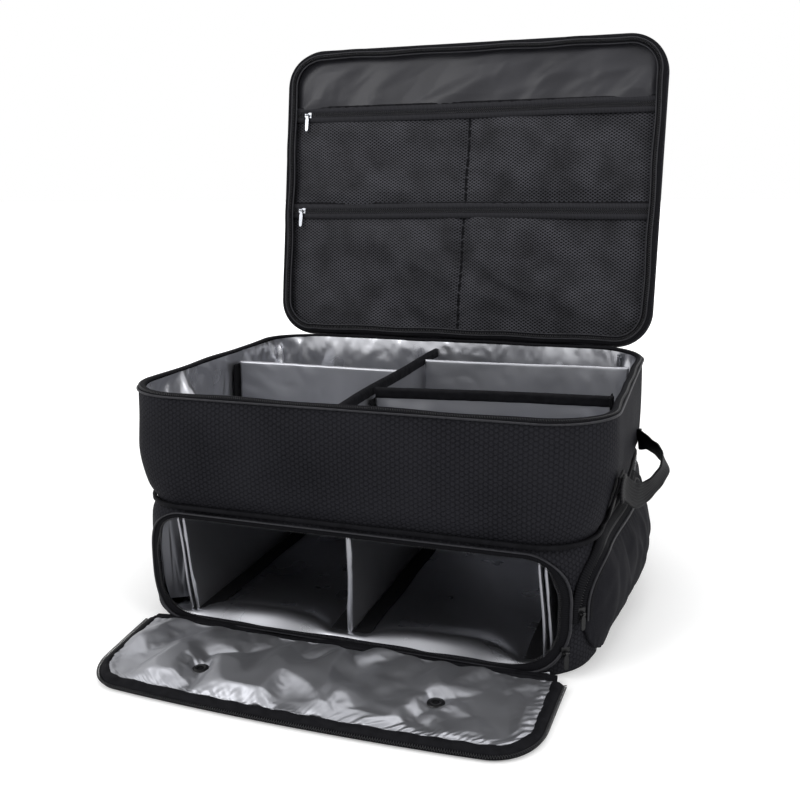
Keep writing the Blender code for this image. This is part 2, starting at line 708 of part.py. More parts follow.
def lid_pockets(frame):
    """A nylon panel over two mesh pockets, each closed by a zip along its top."""
    half = LID_WIDTH / 2 - LID_BAND_WALL - POCKET_SIDE
    lap = POCKET_ZIP_WIDTH / 2 - 0.004
    low_zip, high_zip = POCKET_ZIPS
    top = LID_LENGTH - LID_BAND_WALL - POCKET_SIDE
    between = spread(-half, half, 5)
    columns = rounded_columns(-half, half, LID_CORNER_HIGH - 0.010, between)
    spans = {"lid_nylon_panel": (high_zip + lap, top, NYLON), "mesh_pocket_upper": (low_zip + lap, high_zip - lap, MESH)}
    for name, (foot, head, finish_material) in spans.items():
        rounded = LID_CORNER_HIGH - 0.010 if head == top else 0
        panel(name, columns, constant(foot),
              lambda across, head=head, rounded=rounded, foot=foot: (
                  rounded_top(across, -half, half, foot + 0.004, head, rounded) if rounded else head),
              constant(PANEL_FACE), constant(PANEL_BACK), lid_point, finish_material, parent=frame)
    foot = LID_BAND_WALL + POCKET_FOOT
    low_radius = LID_CORNER_LOW - 0.010
    panel("mesh_pocket_lower", rounded_columns(-half, half, low_radius, between),
          lambda across: foot + low_zip - rounded_top(across, -half, half, 0, low_zip, low_radius),
          constant(low_zip - lap), constant(PANEL_FACE), constant(PANEL_BACK), lid_point, MESH, parent=frame)
    for name, height in (("pocket_zip_lower", low_zip), ("pocket_zip_upper", high_zip)):
        path = [(across, height) for across in spread(-half, half, 4)]
        ribbon(name + "_tape", path, POCKET_ZIP_WIDTH / 2, POCKET_ZIP_WIDTH / 2, ZIP_FACE, ZIP_BACK,
               lid_point, WEB, frame)
        start = -LID_WIDTH / 2 + LID_TAPE_WIDTH + 0.0008 + SLIDER_LENGTH / 2 + 0.001
        turn = Matrix(((1, 0, 0), (0, 0, -1), (0, 1, 0))).to_4x4()
        place = Matrix.Translation(lid_point(start, height, ZIP_FACE - GAP)) @ turn
        slider_and_puller(name, place, POCKET_PULLER, False, CHROME, frame)


def lid_hinge_strip():
    """The strip of fabric behind the rim's zip tape that carries the lid."""
    face = CASE_DEPTH / 2 - PIPING_RADIUS + SEAT
    box("lid_hinge_strip", (-LID_STRIP_HALF, face, SHELL_TOP + GAP),
        (LID_STRIP_HALF, face + TAPE, RIM - 0.0008), WEB, edge=0.0002)


def main_zip():
    """The lid's zip ends at the back right corner of the rim, with its slider on the tape's inner face."""
    along = BACK_ARC_START + QUARTER * 0.55
    place = wall_place(along, SHELL_TOP - 0.002, -INNER_FACE - 2 * GAP, inside=True)
    slider_and_puller("lid_zip", place, SIDE_PULLER, False, CHROME)


# Flap
HINGE_FRONT = -CASE_DEPTH / 2 - FLAP_CLEARANCE


def flap_point(across, out, up):
    return Vector((across, -out, up))


def flap_edge(across, inset=0.0):
    half = FLAP_HALF - inset
    straight = rounded_top(across, -half, half, FLAP_START, FLAP_LENGTH - inset, FLAP_CORNER - inset)
    return straight + FLAP_BOW * (1 - (across / half) ** 2)


def flap(frame):
    film_back = FLAP_PAD + GAP
    film_face = film_back + 0.0012
    columns = rounded_columns(-FLAP_HALF, FLAP_HALF, FLAP_CORNER, spread(-FLAP_HALF, FLAP_HALF, 12))
    pad = panel("front_flap", columns, constant(FLAP_START), flap_edge, constant(0.0), constant(FLAP_PAD),
                flap_point, OXFORD, parent=frame)
    inset = FLAP_BAND + GAP
    half = FLAP_HALF - inset
    columns = rounded_columns(-half, half, FLAP_CORNER - inset, spread(-half, half, 12))
    film = panel("flap_lining", columns, constant(0.010), lambda across: flap_edge(across, inset),
                 constant(film_back), constant(film_face), flap_point, SILVER, parent=frame)
    path = arch_path(-FLAP_HALF, FLAP_HALF, FLAP_START, FLAP_LENGTH, FLAP_CORNER, spread(-FLAP_HALF, FLAP_HALF, 12))
    path = [(x, y if y == FLAP_START else y + FLAP_BOW * (1 - (x / FLAP_HALF) ** 2)) for x, y in path]
    ribbon("flap_zip_tape", path, 0, FLAP_BAND, FLAP_PAD + GAP, FLAP_PAD + GAP + TAPE, flap_point, WEB, frame)
    for side, (across, out) in zip(("left", "right"), EYELET_PLACES):
        hole = turned("eyelet_hole_" + side, across, out,
                      ((0, -0.002), (EYELET_TUBE + GAP, -0.002), (EYELET_TUBE + GAP, 0.012), (0, 0.012)), frame)
        combine(pad, hole, "DIFFERENCE")
        combine(film, hole, "DIFFERENCE")
        top = film_face + GAP
        profile = ((EYELET_HOLE, 0.0005), (EYELET_TUBE, 0.0005), (EYELET_TUBE, top), (EYELET_RADIUS, top),
                   (EYELET_RADIUS - 0.0004, top + 0.0005), (EYELET_TUBE + 0.0005, top + 0.0010),
                   (EYELET_HOLE, top + 0.0006))
        turned("flap_eyelet_" + side, across, out, profile, frame)


def turned(name, across, out, profile, frame):
    """A turned ring, or a plug where its profile starts on the axis."""
    rings = []
    solid = profile[0][0] == 0
    for radius, up in profile[1:-1] if solid else profile:
        rings.append([flap_point(across + radius * math.cos(turn), out + radius * math.sin(turn), up)
                      for turn in spread(0, 2 * math.pi, 20)[:-1]])
    return skin(name, rings, BLACK_METAL, frame, around=not solid)


def flap_hinge_strip():
    """The strip of fabric on the ground between the case and the flap."""
    start = -CASE_DEPTH / 2 + FOOT_TUCK - HINGE_LAP
    half = FLAP_HALF - 0.034
    box("flap_hinge_strip", (-half, HINGE_FRONT - HINGE_LAP, 0), (half, start, HINGE_FABRIC), WEB, edge=0.0002)


# Side pocket on the right, and a handle on both sides
def side_pocket():
    start, end = SIDE_POCKET_START, SIDE_POCKET_END
    foot, head, corner = SIDE_POCKET_FOOT, SIDE_POCKET_HEAD, SIDE_POCKET_CORNER
    columns = rounded_columns(start, end, corner, ROUND_STATIONS)

    def face(along, z):
        across = math.sin(math.pi * min(max((along - start) / (end - start), 0), 1))
        up = math.sin(math.pi * min(max((z - foot) / (head - foot), 0), 1))
        return SEAT + SIDE_POCKET_EDGE + SIDE_POCKET_SWELL * (max(across, 0) * max(up, 0)) ** 0.7

    panel("side_pocket", columns, constant(foot),
          lambda along: rounded_top(along, start, end, foot + 0.004, head, corner),
          constant(SEAT), face, wall_point, OXFORD, rows=8)
    path = arch_path(start, end, SIDE_ZIP_FOOT, head, corner, ROUND_STATIONS)
    ribbon("side_zip_tape", path, SIDE_ZIP_WIDTH, -GAP, SEAT, SEAT + TAPE, wall_point, WEB)
    along = start - SIDE_ZIP_WIDTH / 2
    slider_and_puller("side_zip", wall_place(along, SIDE_SLIDER_Z, SEAT + TAPE + GAP), SIDE_PULLER, True, BLACK_METAL)


def opening_slider():
    """The shoe tier's zip is open, with its slider at the right end of its track."""
    along = OPENING_HALF + TAPE_LAP - OPENING_TAPE / 2
    place = wall_place(along, OPENING_SLIDER_Z, SEAT + TAPE + GAP)
    slider_and_puller("opening_zip", place, SIDE_PULLER, True, BLACK_METAL)


def smooth_route(points, steps=3):
    """Points on a curve through the given ones."""
    route = []
    last = len(points) - 1
    for here in range(last):
        before, start, end, after = (
            Vector(points[min(max(index, 0), last)]) for index in (here - 1, here, here + 1, here + 2))
        for step in range(steps):
            t = step / steps
            route.append(0.5 * (2 * start + (end - before) * t + (2 * before - 5 * start + 4 * end - after) * t * t
                                + (3 * start - before - 3 * end + after) * t ** 3))
    return route + [Vector(points[-1])]


def handle(side):
    """A webbing loop, sewn on at both ends, over a tail that runs down to the waist."""
    hand = 1 if side == "right" else -1
    route = smooth_route(HANDLE_ROUTE)
    last = len(route) - 1
    sections = []
    for here, (y, rise, stand) in enumerate(route):
        before = route[max(here - 1, 0)]
        after = route[min(here + 1, last)]
        across = Vector((before.y - after.y, after.x - before.x)).normalized() * WEBBING_WIDTH / 2
        lean = Vector((before.z - after.z, after.x - before.x)).normalized() * WEBBING / 2
        section = []
        for width, depth in ((-1, -1), (0, -1), (1, -1), (1, 1), (0, 1), (-1, 1)):
            along = side_station(y + width * across.x + depth * lean.x)
            section.append(wall_point(hand * along, WAIST + rise + width * across.y, stand + depth * lean.y))
        sections.append(section)
    skin(side + "_handle", sections, WEB)
    half = WEBBING_WIDTH / 2
    levels = [UPPER_LEVELS[1], *(z for z in UPPER_LEVELS if UPPER_LEVELS[1] < z < TAIL_HEAD), TAIL_HEAD]
    sections = []
    for along in stations(SIDE_START - half, SIDE_START + half):
        back = [wall_point(hand * along, z, SEAT) for z in levels]
        face = [wall_point(hand * along, z, SEAT + WEBBING) for z in reversed(levels)]
        sections.append(back + face)
    skin(side + "_handle_tail", sections, WEB)


lower_shell()
lower_lining()
opening_zip_tape()
shoe_bays()
upper_tier()
dividers()

lid_frame = bpy.data.objects.new("lid_hinge", None)
bpy.context.scene.collection.objects.link(lid_frame)
lid_frame.location = (0, HINGE_Y, HINGE_Z)
lid_frame.rotation_euler.x = -math.radians(LID_LEAN)
lid(lid_frame)
lid_hinge_strip()
main_zip()

flap_frame = bpy.data.objects.new("flap_hinge", None)
bpy.context.scene.collection.objects.link(flap_frame)
flap_frame.location = (0, HINGE_FRONT, 0)
flap(flap_frame)
flap_hinge_strip()

opening_slider()

side_pocket()
for side in ("right", "left"):
    handle(side)
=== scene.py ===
"""Collapsible golf organizer: two soft tiers, the lid standing open and the shoe flap lying open. Metres, CAD frame."""

import math

import bpy
import numpy as np
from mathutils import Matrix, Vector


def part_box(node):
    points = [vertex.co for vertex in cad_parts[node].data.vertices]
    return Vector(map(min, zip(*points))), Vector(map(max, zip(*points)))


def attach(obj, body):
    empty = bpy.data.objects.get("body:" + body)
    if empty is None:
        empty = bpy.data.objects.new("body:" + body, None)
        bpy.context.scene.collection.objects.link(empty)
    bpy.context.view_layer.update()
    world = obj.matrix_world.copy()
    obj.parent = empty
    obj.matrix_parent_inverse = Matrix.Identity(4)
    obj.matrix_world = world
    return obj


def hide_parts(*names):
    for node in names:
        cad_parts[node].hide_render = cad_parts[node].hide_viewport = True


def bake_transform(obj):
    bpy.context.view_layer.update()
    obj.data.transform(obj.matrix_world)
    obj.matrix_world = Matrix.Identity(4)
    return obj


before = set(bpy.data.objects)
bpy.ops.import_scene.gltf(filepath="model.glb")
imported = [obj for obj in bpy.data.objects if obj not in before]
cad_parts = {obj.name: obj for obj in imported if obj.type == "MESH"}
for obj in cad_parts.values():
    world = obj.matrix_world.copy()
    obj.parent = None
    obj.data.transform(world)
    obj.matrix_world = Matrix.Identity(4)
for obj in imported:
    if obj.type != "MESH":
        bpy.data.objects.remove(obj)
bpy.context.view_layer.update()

# --- Lower tier's shell -----------------------------------------------------------------------------------------------
# The shoe compartment is a band of 600-denier polyester over 3 mm foam, bagged out and sewn to a stiffened base. Its
# front is cut out from corner to corner. The back of the cloth is coated, so it holds soft, shallow wrinkles.

STRAIGHT_X, STRAIGHT_Y, CORNER = 0.160, 0.119, 0.060
SIDE_START = STRAIGHT_X + CORNER * math.pi / 2
BACK_ARC = SIDE_START + 2 * STRAIGHT_Y
BACK_START = BACK_ARC + CORNER * math.pi / 2
HALF_ROUND = BACK_START + STRAIGHT_X
WAIST, RIM = 0.112, 0.217
OPENING = dict(half=0.197, low=0.006, high=0.106, low_r=0.040, high_r=0.040)


def ease(t):
    """Smooth step: 3t² - 2t³ on t held between 0 and 1."""
    t = np.clip(t, 0, 1)
    return t * t * (3 - 2 * t)


def arch(t):
    """Half a sine wave: 0 up to t = 0, 1 at a half, and 0 again from t = 1."""
    return np.sin(np.pi * np.clip(t, 0, 1))


def wall(along, height, out=0.0):
    """Places on the case's wall. The plan is straights of 320 and 238 mm joined by quarter circles of 60 mm, walked
    from the middle of the front, + to the right: centre + (60 mm + slack + out) * outward. Slack is 2 mm of a half
    sine over each tier, less bells of 5 mm at the waist seam and 4 mm at the foot. Low on the sides x also moves by
    6 mm of a sine along the side times a sine up it, and back by 8 mm towards the front."""
    along, height, out = np.broadcast_arrays(along, height, out)
    a, hand = np.abs(along), np.where(along < 0, -1.0, 1.0)
    turn = (np.clip(a - STRAIGHT_X, 0, CORNER * math.pi / 2) + np.clip(a - BACK_ARC, 0, CORNER * math.pi / 2)) / CORNER
    cx = np.clip(a, 0, STRAIGHT_X) - np.clip(a - BACK_START, 0, None)
    cy = np.clip(a - SIDE_START, 0, 2 * STRAIGHT_Y) - STRAIGHT_Y
    tier = np.where(height < WAIST, height / WAIST, (height - WAIST) / (RIM - WAIST))
    slack = 0.002 * arch(tier) - 0.005 * np.exp(-(((height - WAIST) / 0.009) ** 2))
    slack = slack - 0.004 * np.exp(-((height / 0.004) ** 2))
    low = 1 - ease((height - WAIST) / 0.0525)
    swell = 0.006 * arch((cy + 0.111) / 0.290) * arch(height / WAIST)
    shift = low * (swell - 0.008 * (1 - ease((cy + STRAIGHT_Y) / 0.120)))
    reach = CORNER + slack + out
    x = hand * (cx + (reach + shift) * np.sin(turn))
    return np.stack([x, cy - reach * np.cos(turn), height], -1)


def folds(u, v, seed, count, depth, width, length, lean=0.0, scatter=math.pi, sharp=False):
    """Heights of folds at places (u, v): the sum over random folds of depth * cross * bell(along / length), with
    bell(t) = exp(-t²). Cross is bell(across / width), or for a sharp crease exp(-sqrt(t² + .03)) of the same t. Across
    and along are the distances square to the fold and in line with it; the fold leans from the v axis."""
    pick = np.random.default_rng(seed)
    low, high = np.array([u.min(), v.min()]), np.array([u.max(), v.max()])
    total = np.zeros(np.broadcast(u, v).shape)
    for centre, turn, size, sign in zip(
        pick.uniform(low, high, (count, 2)),
        lean + pick.uniform(-scatter / 2, scatter / 2, count),
        pick.uniform(0.5, 1.5, count),
        pick.choice([-0.6, 1.0], count),
    ):
        du, dv = u - centre[0], v - centre[1]
        across = (du * math.cos(turn) + dv * math.sin(turn)) / (width * size)
        run = (dv * math.cos(turn) - du * math.sin(turn)) / (length * size)
        near = np.abs(run) < 2.5
        cross = np.exp(-np.sqrt(across**2 + 0.03)) if sharp else np.exp(-(across**2))
        total += np.where(near, sign * size * depth * cross * np.exp(-(run**2)), 0)
    return total


def rounded(half, low, high, low_r, high_r, step=0.003):
    """Points round a rounded rectangle of that half width, from low to high, and the outward direction at each: four
    straights and four arcs, anticlockwise from the left end of the low side, a step apart."""
    parts, ways = [], []
    for centre, radius, start in (
        ((half - low_r, low + low_r), low_r, -0.5),
        ((half - high_r, high - high_r), high_r, 0.0),
        ((high_r - half, high - high_r), high_r, 0.5),
        ((low_r - half, low + low_r), low_r, 1.0),
    ):
        turn = math.pi * (start + np.linspace(0, 0.5, max(3, int(radius * 1.57 / step)) + 1))
        way = np.stack([np.cos(turn), np.sin(turn)], -1)
        parts.append(np.array(centre) + radius * way)
        ways.append(way)
    points, outward = [], []
    for k in range(4):
        a, b = parts[k - 1][-1], parts[k][0]
        n = max(1, int(np.linalg.norm(b - a) / step))
        t = np.linspace(0, 1, n + 1)[1:-1, None]
        points += [a + (b - a) * t, parts[k]]
        outward += [np.repeat(ways[k][:1], len(t), 0), ways[k]]
    return np.concatenate(points), np.concatenate(outward)


def skin(name, grid, material, round_rows=False, round_columns=False, uv=None, cap=False, wall_mm=0.0, index=None):
    """A mesh from a grid of places (rows, columns, xyz): each is joined to the next along its row and its column, and
    the last to the first where the grid goes round. uv is two grids of metres. A cap closes the last row with one
    face, and wall_mm gives the skin that thickness inwards."""
    rows, columns = grid.shape[:2]

    def corners(a):
        """The four corners of each square of a grid, which gets its first column and row again where it goes round."""
        if round_columns and a.shape[1] == columns:
            a = np.concatenate([a, a[:, :1]], 1)
        if round_rows:
            a = np.concatenate([a, a[:1]], 0)
        return np.stack([a[:-1, :-1], a[:-1, 1:], a[1:, 1:], a[1:, :-1]], 2).ravel()

    if index is None:
        index = np.arange(rows * columns).reshape(rows, columns)
    quads = corners(index)
    used, quads = np.unique(quads, return_inverse=True)
    quads = quads.reshape(-1, 4)
    mesh = bpy.data.meshes.new(name)
    mesh.vertices.add(len(used))
    mesh.vertices.foreach_set("co", grid.reshape(-1, 3)[used].astype(np.float32).ravel())
    extra = index[-1] if cap else np.zeros(0, int)
    mesh.loops.add(quads.size + len(extra))
    order = np.concatenate([quads.ravel(), np.searchsorted(used, extra)])
    mesh.loops.foreach_set("vertex_index", order.astype(np.int32))
    mesh.polygons.add(len(quads) + (1 if cap else 0))
    mesh.polygons.foreach_set("loop_start", np.arange(len(mesh.polygons), dtype=np.int32) * 4)
    mesh.polygons.foreach_set("use_smooth", np.ones(len(mesh.polygons), bool))
    if uv is not None:
        layer = mesh.uv_layers.new(name="metres")
        flat = np.zeros((len(mesh.loops), 2))
        flat[: quads.size] = np.stack([corners(a) for a in uv], -1)
        layer.data.foreach_set("uv", flat.astype(np.float32).ravel())
    mesh.update(calc_edges=True)
    mesh.validate()
    mesh.materials.append(material)
    piece = bpy.data.objects.new(name, mesh)
    bpy.context.scene.collection.objects.link(piece)
    if wall_mm:
        solid = piece.modifiers.new("thickness", "SOLIDIFY")
        solid.thickness, solid.offset = wall_mm / 1000, -1
    return piece


def settle(piece, body, slot, *nodes):
    """The piece moves with the body and stands for the CAD nodes, which are hidden; the slot is not used."""
    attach(piece, body)
    if nodes:
        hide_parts(*nodes)


def linear(code):
    """An sRGB hex colour as linear light: c/12.92 up to .04045, else ((c + .055)/1.055) to the power 2.4."""
    c = np.array([int(code[k : k + 2], 16) / 255 for k in (1, 3, 5)])
    return (*np.where(c <= 0.04045, c / 12.92, ((c + 0.055) / 1.055) ** 2.4), 1.0)


def plug(node, inputs):
    """Gives each input of a node a value, or a link from a socket or from a node's first output."""
    for key, value in inputs.items():
        if isinstance(value, bpy.types.Node):
            value = value.outputs[0]
        if isinstance(value, bpy.types.NodeSocket):
            node.id_data.links.new(value, node.inputs[key])
        else:
            node.inputs[key].default_value = value


def add(tree, kind, inputs=(), **settings):
    """Adds a node to a tree, sets it and plugs its inputs."""
    node = tree.nodes.new("ShaderNode" + kind)
    for key, value in settings.items():
        setattr(node, key, value)
    plug(node, dict(inputs))
    return node


def surface(name, roughness, metallic=0.0, ior=1.5, sheen=0.0, specular=0.5):
    """A new material: its tree, its Principled shader, and the sockets of object place and of the UV map in metres."""
    material = bpy.data.materials.new(name)
    material.use_nodes = True
    tree = material.node_tree
    shader = tree.nodes["Principled BSDF"]
    plug(shader, {"Roughness": roughness, "Metallic": metallic, "IOR": ior, "Specular IOR Level": specular})
    plug(shader, {"Sheen Weight": sheen, "Sheen Roughness": 0.45})
    place = add(tree, "TexCoord")
    return material, tree, shader, place.outputs["Object"], place.outputs["UV"]


def blend_colours(tree, share, dark, light):
    """A colour from dark to light as the share goes from 0 to 1, both sRGB hex."""
    mix = add(tree, "Mix", {0: share, 6: linear(dark), 7: linear(light)}, data_type="RGBA")
    return mix.outputs[2]


def emboss(tree, height, millimetres, before=None, strength=1.0):
    """A bump of that many millimetres from a height of 0 to 1, on top of another one."""
    inputs = {"Height": height, "Distance": millimetres / 1000, "Strength": strength}
    if before is not None:
        inputs["Normal"] = before
    return add(tree, "Bump", inputs).outputs["Normal"]


# Oxford cloth, 600-denier polyester calendered hot with a honeycomb die: raised six-sided cells with dull grooves
# between them, and light caught on their edges. The cells' middles are also painted lighter than the grooves, a
# painted highlight. Cells stand 4.49 mm apart, so 192 pairs go round the case's 1493 mm.
CELL = 2 * HALF_ROUND / 192 / math.sqrt(3)
# A wave texture turns by 20 times its scale in each metre, so bands a metre apart have this scale.
BAND = 0.314


def oxford(name, honeycomb):
    """The case's cloth. With honeycomb, each UV place is measured from the nearest centre of two lattices of
    (sqrt 3, 1) cells, one half a cell on: d = max(|y|, .866|x| + .5|y|), and the cell rises as d falls from .47 to
    .27."""
    cloth, tree, shader, place, uv = surface(name, 0.62, specular=0.02)
    flat = add(tree, "VectorMath", {0: uv, 1: (1 / CELL / math.sqrt(3), 1 / CELL, 0)}, operation="MULTIPLY")
    reach = []
    for half in (0.0, 0.5):
        moved = add(tree, "VectorMath", {0: flat, 1: (half, half, 0)}, operation="ADD")
        part = add(tree, "VectorMath", {0: moved}, operation="FRACTION")
        centred = add(tree, "VectorMath", {0: part, 1: (0.5, 0.5, 0)}, operation="SUBTRACT")
        sized = add(tree, "VectorMath", {0: centred, 1: (math.sqrt(3), 1, 0)}, operation="MULTIPLY")
        size = add(tree, "VectorMath", {0: sized}, operation="ABSOLUTE")
        xyz = add(tree, "SeparateXYZ", {0: size})
        slope = add(tree, "Math", {0: xyz, 1: math.sqrt(3)}, operation="MULTIPLY")
        both = add(tree, "Math", {0: slope, 1: xyz.outputs[1]}, operation="ADD")
        halved = add(tree, "Math", {0: both, 1: 0.5}, operation="MULTIPLY")
        far = add(tree, "Math", {0: halved, 1: xyz.outputs[1]}, operation="MAXIMUM")
        reach.append(far)
    near = add(tree, "Math", {0: reach[0], 1: reach[1]}, operation="MINIMUM")
    cell = {"Value": near, "From Min": 0.47, "From Max": 0.27}
    cell = add(tree, "MapRange", cell, interpolation_type="SMOOTHSTEP")
    # 600-denier threads lie .35 mm apart; drawn .7 mm apart, as finer ones don't show from a metre away.
    weave = {"Vector": uv, "Scale": BAND / 0.0007, "Distortion": 1.0}
    weave = add(tree, "TexWave", weave, bands_direction="DIAGONAL")
    patches = add(tree, "TexNoise", {"Vector": place, "Scale": 14.0, "Detail": 4.0})
    grain = add(tree, "TexNoise", {"Vector": place, "Scale": 900.0, "Detail": 2.0})
    tone = add(tree, "Math", {0: patches, 1: grain}, operation="ADD")
    tone = add(tree, "Math", {0: tone, 1: -0.55}, operation="ADD")
    if honeycomb:
        # Painted highlight: the raised cells' colour is lifted above the grooves'.
        raised = add(tree, "Math", {0: cell, 1: 0.45}, operation="MULTIPLY")
        tone = add(tree, "Math", {0: tone, 1: raised}, operation="ADD")
    bump = emboss(tree, weave, 0.06)
    bump = emboss(tree, patches, 1.2, bump, 0.5)
    if honeycomb:
        bump = emboss(tree, cell, 0.55, bump, 0.9)
    plug(shader, {"Base Color": blend_colours(tree, tone, "#121215", "#27272b"), "Normal": bump})
    return cloth


plain_oxford = oxford("oxford cloth, plain", False)
honeycomb_oxford = oxford("oxford cloth, honeycomb embossed", True)


def case_cloth(along, height):
    """Slack of the case's cloth: soft upright folds up to 1.5 mm deep, none at the pocket or the front's left seam."""
    pocket = ease((np.abs(along) - 0.180) / 0.02) * (np.abs(along) < 0.5)
    seam = ease((2 * HALF_ROUND - SIDE_START - along) / 0.03)
    return folds(along, height, 11, 60, 0.0009, 0.012, 0.045, 0.0, 1.4) * (1 - pocket) * seam


# The front is one grid from the opening's edge, each point carried straight out to the front's own outline.
edge, edge_way = rounded(**OPENING)
core = np.stack([np.clip(edge[:, 0], -0.157, 0.157), np.clip(edge[:, 1], 0.046, 0.066)], -1)
way = edge - core
way[np.abs(way) < 1e-9] = 1e-9
border = np.stack([np.sign(way[:, 0]) * SIDE_START, np.where(way[:, 1] > 0, WAIST, 0)], -1)
outer = core + way * ((border - core) / way).min(axis=1, keepdims=True)
for sx in (-1, 1):
    for z in (0.0, WAIST):
        outer[np.argmin(np.linalg.norm(outer - (sx * SIDE_START, z), axis=1))] = (sx * SIDE_START, z)
share = np.linspace(0, 1, 10)[:, None, None]
front = (edge * (1 - share) + outer * share)[:, ::-1]
front_cloth = wall(front[..., 0], front[..., 1], case_cloth(front[..., 0], front[..., 1]))
front_uv = (front[..., 0], front[..., 1])
lower_front = skin("lower_front_cloth", front_cloth, honeycomb_oxford, round_columns=True, uv=front_uv, wall_mm=3.5)
settle(lower_front, "case", "oxford_fabric")
along, height = np.meshgrid(np.linspace(SIDE_START, 2 * HALF_ROUND - SIDE_START, 330), np.linspace(0, WAIST, 36))
turned = np.where(along > HALF_ROUND, along - 2 * HALF_ROUND, along)
lower_cloth = wall(turned, height, case_cloth(along, height))
lower_shell = skin("lower_case_cloth", lower_cloth, honeycomb_oxford, uv=(along, height), wall_mm=3.5)
settle(lower_shell, "case", "oxford_fabric", "lower_shell")
ring = wall(np.linspace(-HALF_ROUND, HALF_ROUND, 400, endpoint=False)[::-1], 0.0)
shrink = np.linspace(1, 0.04, 30)[:, None, None]
sole = ring[None] * shrink
sole[..., 2] = 0.0012 * ease((1 - shrink[..., 0]) * 12)
case_sole = skin("case_sole", sole, plain_oxford, round_columns=True, uv=(sole[..., 0], sole[..., 1]), cap=True)
settle(case_sole, "case", "oxford_fabric")

# --- Lower tier's lining ----------------------------------------------------------------------------------------------
# A box of aluminised PE film, 0.2 mm thick, stitched in along the opening's edge and left loose behind, so it creases
# sharply where it turns. The floor rolls down over the sill at the front and catches the light there.


def film(name, colour, roughness, crinkle=1.0, metallic=0.86):
    """Aluminised PE film: a thin mirror coat under a clear skin, so it shines as metal does, made soft by an emboss
    too fine to see and by the slack of a thin sheet, up to 2.2 mm deep."""
    foil, tree, shader, place, uv = surface(name, roughness, metallic=metallic)
    cloud = add(tree, "TexNoise", {"Vector": place, "Scale": 26.0, "Detail": 2.0})
    # The real emboss is a .5 mm pin pattern; drawn at 1.1 mm, the finest that shows.
    pins = add(tree, "TexVoronoi", {"Vector": place, "Scale": 900.0})
    rough = {"Value": cloud, "To Min": roughness * 0.8, "To Max": roughness * 1.35}
    rough = add(tree, "MapRange", rough)
    bump = emboss(tree, cloud, 2.2 * crinkle, strength=0.5)
    bump = emboss(tree, pins, 0.03, bump, 0.35)
    plug(shader, {"Base Color": linear(colour), "Roughness": rough, "Normal": bump})
    return foil


lining_film = film("aluminised PE film, lower lining", "#a9aaaf", 0.24, metallic=0.97)
LINING_LOW, LINING_HIGH, LINING_DEPTH = 0.0055, 0.1065, -0.0055

film_front = front[:, ::-1]
front_film = wall(film_front[..., 0], np.clip(film_front[..., 1], LINING_LOW, LINING_HIGH), LINING_DEPTH)
lower_film_front = skin("lower_lining_front", front_film, lining_film, round_columns=True)
settle(lower_film_front, "case", "silver_film")
along, height = np.meshgrid(
    np.linspace(2 * HALF_ROUND - SIDE_START, SIDE_START, 360), np.linspace(LINING_LOW, LINING_HIGH, 36)
)
turned = np.where(along > HALF_ROUND, along - 2 * HALF_ROUND, along)
held = arch((height - LINING_LOW) / (LINING_HIGH - LINING_LOW)) ** 0.5
crumple = np.abs(folds(along, height, 5, 110, 0.0022, 0.006, 0.035, 0.1, 1.5, True)) * held
lower_film = skin("lower_lining_walls", wall(turned, height, LINING_DEPTH - crumple), lining_film)
settle(lower_film, "case", "silver_film", "lower_lining")
# At the left jamb the lining hangs loose behind the opening's tape, in a few upright folds that catch the light.
u, z = np.meshgrid(np.linspace(0, 1, 40), np.linspace(0.0120, 0.1030, 40))
sway = np.sin(np.pi * (z - 0.012) / 0.091) ** 0.6
loose = folds(u * 0.034, z, 6, 9, 0.0040, 0.0030, 0.050, 0.0, 0.3) * sway
inward = -0.1900 + 0.026 * u - 0.006 * u * (z / 0.1)
curtain = np.stack([inward, -0.1640 + 0.016 * u - np.clip(loose, -0.003, 0.007) * u, z], -1)
jamb_film = film("aluminised PE film, loose at the jamb", "#75767b", 0.42, metallic=0.85)
settle(skin("lower_lining_jamb", curtain, jamb_film), "case", "silver_film")
ring = wall(np.linspace(-HALF_ROUND, HALF_ROUND, 360, endpoint=False), 0.056, -0.0058)
for name, level, order in (("lower_lining_floor", 0.0056, 1), ("lower_lining_ceiling", 0.1064, -1)):
    plate = ring[None, ::order] * np.linspace(1, 0.04, 26)[:, None, None]
    plate[..., 2] = level
    settle(skin(name, plate, lining_film, round_columns=True, cap=True), "case", "silver_film")

# --- Base board and upright boards ------------------------------------------------------------------------------------
# Polyethylene sheets in film sleeves: one lies on the floor, a pair stands at each side and one divides the two shoe
# bays. The sleeves are closed by folding, so each board's edge is a bright, uneven double line.


def spread(low, high, count, rim):
    """Places from low to high, closer together within rim of both ends, where an edge is rounded: rim * (1 - cos t)."""
    t = rim * (1 - np.cos(np.linspace(0, math.pi / 2, 6)))
    return np.concatenate([low + t, np.linspace(low + rim, high - rim, count)[1:-1], high - t[::-1]])


def unit(way):
    """Directions made one metre long: each is divided by its length."""
    return way / np.linalg.norm(way, axis=-1, keepdims=True)


